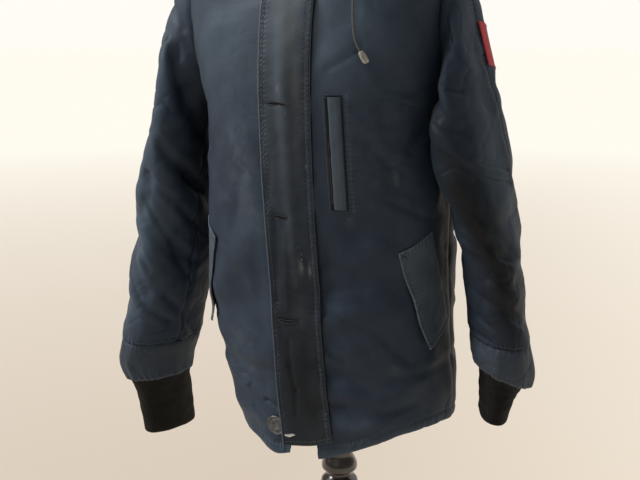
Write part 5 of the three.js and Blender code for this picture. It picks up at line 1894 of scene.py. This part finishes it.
@dataclass
class SmallParts:
    """The snap, the eyelet, the drawcord and its end."""

    maker: Maker
    body: BodyForm
    metal: Material
    braid: Material
    barrel: Material
    cord_radius: float = 1.7
    end_length: float = 18.0
    end_wide: float = 9.5
    end_thick: float = 5.6

    def seat(self, piece: Object, place: Array, out: Array) -> None:
        """Stands a piece turned round the Z axis on a place, its axis along the outward direction."""
        turn = Vector((0, 0, 1)).rotation_difference(Vector(out)).to_matrix().to_4x4()
        piece.data.transform(Matrix.Translation(Vector(place) * MILLIMETRE) @ turn)

    def make_snap(self) -> None:
        """Makes the ringed snap cap at the lower end of the closing."""
        profile = numbers("""
    0 0; 14 0; 15.4 0.5; 16 1.4; 15.9 2.7; 15.2 3.5; 14.3 3.8; 13.4 3.4; 12.6 2.7; 11.4 2.5; 10.4 2.6;
    9.9 3.2; 9 3.6; 8.2 3.5; 7.6 3; 7 2.9; 6.4 3.3; 5.8 3.2; 5.2 2.4; 4.4 2.1; 0 2.1
""")
        snap = self.maker.turned("snap_cap", profile, 72)
        ring = float(self.body.ring_for_height(-10.0, 47.0))
        angle = float(self.body.angle_for_x(-46.0, ring))
        self.seat(snap, self.body.over(angle, ring, 0.8), self.body.normal(angle, ring))
        self.maker.dress(snap, self.metal, 50, "snap_metal", "snap_button")

    def make_eyelet(self) -> None:
        """Makes the eyelet on the collar."""
        profile = numbers("2.4 1.2; 2.6 0; 5.6 0; 6 0.4; 5.9 1.2; 5.2 1.9; 4.2 2.1; 3 1.9; 2.4 1.2")
        eyelet = self.maker.turned("eyelet_ring", profile, 48)
        away = np.array([math.sin(math.radians(40)), -math.cos(math.radians(40)), 0])
        self.seat(eyelet, self.body.point(40.0, 12.0, False) + away * 0.5 + np.array([0, 0, 12.0]), away)
        self.maker.dress(eyelet, self.metal, 60, "snap_metal", "cord_eyelet")

    def route(self, count: int) -> Array:
        """Gives evenly spaced points on the smooth line through the cord's route.

        Args:
            count: Number of points.

        Returns:
            The points, one a row.
        """
        way = way_along(CORD_ROUTE)
        table = Table("way x y z", np.column_stack([way, CORD_ROUTE]))
        at = np.linspace(0, way[-1], count)
        return np.stack([table.value("way", at, axis) for axis in "xyz"], axis=-1)

    def make_cord(self) -> None:
        """Makes the drawcord with its barrel end."""
        line = self.route(70)
        along = unit(np.gradient(line, axis=0))
        side = unit(np.cross(along, np.array([0.3, -0.9, 0.2])))
        out = np.cross(along, side)
        turns = np.radians(round_angles(16))[None, :, None]
        ring = side[:, None] * np.cos(turns) + out[:, None] * np.sin(turns)
        cord = self.maker.capped("drawcord_braid", line[:, None] + ring * self.cord_radius)
        self.maker.dress(cord, self.braid, 60, "cord", "drawcord")
        end = self.make_end(line[-1])

    def make_end(self, tip: Array) -> Object:
        """Makes the flattened barrel on the cord's end.

        Args:
            tip: The cord's last point.

        Returns:
            The barrel.
        """
        along = unit(np.array([0.5, 0.14, -0.85]))
        flat = unit(np.cross(np.array([0.42, -0.9, 0.0]), along))
        thin = np.cross(along, flat)
        outline = numbers("""
    0 0.3; 0.01 0.5; 0.05 0.66; 0.16 0.9; 0.2 0.86; 0.26 0.86; 0.3 0.95; 0.45 1; 0.62 1; 0.66 0.93;
    0.7 0.93; 0.74 1; 0.86 0.93; 0.96 0.76; 1 0.55
""")
        turns = np.radians(round_angles(28))
        rings = []
        for way, wide in outline:
            groove = wide * (1 - 0.75 * bell(np.cos(turns), 0, 0.3) * (0.32 < way)) / 2
            x, y = np.cos(turns) * self.end_wide * groove, np.sin(turns) * self.end_thick * groove
            middle = tip + along * (SEAM_GAP + way * self.end_length)
            rings.append(middle + x[:, None] * flat + y[:, None] * thin)
        end = self.maker.capped("cord_barrel", np.stack(rings))
        return self.maker.dress(end, self.barrel, 50, "cord_end_plastic", "cord_end")

    def make(self) -> None:
        """Makes the small parts, apart from the cord."""
        self.make_snap()
        self.make_eyelet()


@dataclass
class DressForm:
    """The limbless form, the turned pole and the round base."""

    maker: Maker
    body: BodyForm
    cover: Material
    wood: Material
    flat_wood: Material
    around: int = 96
    base_radius: float = 205.0
    base_thickness: float = 24.0

    def rings(self) -> list[Array]:
        """Gives the form's main rings from its underside to its neck cap."""
        angles = round_angles(self.around)
        turned = signed(angles)
        sine, cosine = np.sin(np.radians(angles)), np.cos(np.radians(angles))
        found = []
        for row in (0, 0.5, 1, 1.5, 2, 2.6, 3.2, 4, 4.8, 5.5, 6.2, 7):
            at = FORM.row("row", float(row))
            reach = (np.abs(sine / at["across"]) ** 2.2 + np.abs(cosine / at["deep"]) ** 2.2) ** (-1 / 2.2)
            height = np.full_like(angles, HEM_ABOVE_FLOOR + float(at["height"]))
            found.append(np.stack([at["x"] + reach * sine, at["y"] - reach * cosine, height], axis=-1))
        side = np.abs(np.sin(np.radians(turned)))
        for ring in (10.15, 10.5, 11, 11.5, 12):
            across = self.body.point(turned + 0.6, ring, False) - self.body.point(turned - 0.6, ring, False)
            above = self.body.point(turned, min(ring + 0.03, 12.0), False)
            up = above - self.body.point(turned, ring - 0.03, False)
            below = WALL + CLEARANCE + 5 * np.sqrt(1 - side) + 6 * (1 - side) + 3 * (11 - min(ring, 11))
            found.append(self.body.point(turned, ring, False) - unit(np.cross(across, up)) * below[:, None])
        foot = np.stack([-sine * 8, cosine * 8, np.full_like(sine, -4.0)], axis=-1)
        found.append(self.body.point(turned, 12.0, False) + foot)
        for height, x, y, radius in NECK.rows:
            level = np.full_like(sine, HEM_ABOVE_FLOOR + height)
            found.append(np.stack([x + radius * sine, y - radius * cosine, level], axis=-1))
        return found

    def make_form(self) -> None:
        """Makes the form's smooth cover with rounded ends."""
        rings = self.rings()
        rows = []
        for lower, upper in zip(rings[:-1], rings[1:]):
            count = max(1, int(np.linalg.norm(upper - lower, axis=-1).max() / 9))
            rows += [lower + (upper - lower) * k / count for k in range(count)]
        points = np.stack([*rows, rings[-1]])
        for _ in range(5):
            points[1:-1] = (points[:-2] + 2 * points[1:-1] + points[2:]) / 4
        form = self.maker.capped("dress_form_cover", points)
        self.maker.dress(form, self.cover, 50, "form_cloth", "dress_form")

    def make_stand(self) -> None:
        """Makes the turned pole and the base."""
        low, high = POLE.column("height")[[0, -1]]
        heights = np.unique(np.concatenate([np.arange(low, high, 2.6), POLE.column("height")]))
        radii = POLE.value("height", heights, "radius")
        profile = [(0, low), *zip(radii.tolist(), heights.tolist()), (0, high)]
        pole = self.maker.turned("turned_pole", profile, 72)
        self.maker.dress(pole, self.wood, 40, "stand_wood", "stand_pole")
        edge, top = self.base_radius, self.base_thickness
        rim = numbers("9 0; 6 1.2; 3.4 4; 2 7; 1.4 8; 0 14")
        profile = [(0, 0), (edge - 3, 0), (edge - 0.8, 0.9), (edge, 3)]
        profile += [(edge - inwards, top - down) for down, inwards in rim] + [(0, top)]
        base = self.maker.turned("round_base", profile, 128)
        self.maker.dress(base, self.flat_wood, 30, "stand_wood", "stand_base")

    def make(self) -> None:
        """Makes the form and its stand."""
        self.make_form()
        self.make_stand()


def main() -> None:
    """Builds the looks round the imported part."""
    logging.basicConfig(level=logging.INFO, format="%(message)s")
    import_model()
    Studio().set_up()
    maker, body, effects = Maker(), BodyForm(), Effects()
    shell = WornCloth("navy_shell_cloth", (0.0155, 0.025, 0.0415)).build(effects)
    flap_cloth = WornCloth(
        "storm_flap_cloth", (0.013, 0.0195, 0.03), faded=(0.11, 0.142, 0.175), wrinkle=0.00034,
        patchiness=0.16,
    ).build(effects)
    rib = WornCloth(
        "rib_knit", (0.007, 0.0055, 0.0045), faded=(0.02, 0.016, 0.013), weave=0.00012, wrinkle=0.0001
    ).build(effects)
    patch = WornCloth(
        "red_patch_cloth", (0.42, 0.02, 0.035), faded=(0.5, 0.1, 0.1), wrinkle=0.0001
    ).build(effects)
    dark = WornCloth(
        "zip_tape_and_painted_shade_cloth", (0.0035, 0.0035, 0.004), faded=(0.01, 0.01, 0.011), wrinkle=0.0
    ).build(effects)
    cover = WornCloth(
        "form_cover", (0.13, 0.115, 0.095), faded=(0.2, 0.18, 0.15), wrinkle=0.0, patchiness=0.15
    ).build(effects)
    thread = PlainFinish("navy_thread", (0.034, 0.041, 0.052), (0.085, 0.095, 0.11), 900).build()
    pale = PlainFinish("pale_thread", (0.42, 0.41, 0.39), (0.6, 0.59, 0.56), 700).build()
    red_thread = PlainFinish("red_thread", (0.36, 0.02, 0.03), (0.5, 0.05, 0.06), 900).build()
    metal = PlainFinish(
        "gunmetal", (0.045, 0.047, 0.052), second=(0.13, 0.13, 0.13), grain_scale=220, metallic=0.6,
        rough_range=(0.34, 0.55), relief=0.00003,
    ).build()
    brass = PlainFinish(
        "dull_brass", (0.075, 0.062, 0.048), second=(0.035, 0.03, 0.025), metallic=0.5
    ).build()
    braid = PlainFinish(
        "cord_braid", (0.03, 0.032, 0.036), second=(0.085, 0.085, 0.08), grain_scale=700, relief=0.0002
    ).build()
    barrel = PlainFinish("barrel_plastic", (0.2, 0.19, 0.165), (0.34, 0.32, 0.28), 160).build()
    wood = PlainFinish(
        "dark_turned_wood", (0.014, 0.009, 0.007), second=(0.04, 0.024, 0.016), grain_scale=55,
        grain_stretch=(1, 1, 0.08), coat=0.7, rough_range=(0.22, 0.36), relief=0.00006,
    ).build()
    flat_wood = PlainFinish(
        "dark_board_wood", (0.014, 0.009, 0.007), second=(0.03, 0.019, 0.013), grain_scale=30,
        grain_stretch=(0.06, 1, 1), coat=0.3, rough_range=(0.38, 0.5), relief=0.00004,
    ).build()
    small = SmallParts(maker, body, metal, braid, barrel)
    small.make_cord()
    ShellBody(maker, shell, thread, body).make()
    StormFlap(maker, flap_cloth, thread, body, dark, pale).make()
    Pockets(maker, shell, thread, body, brass, dark).make()
    left = SleeveForm(1, body)
    Sleeve(maker, shell, thread, SleeveForm(-1, body), "right", rib).make()
    Sleeve(maker, shell, thread, left, "left", rib).make()
    SleevePatch(maker, patch, red_thread, left).make()
    small.make()
    DressForm(maker, body, cover, wood, flat_wood).make()


if __name__ == "__main__":
    main()
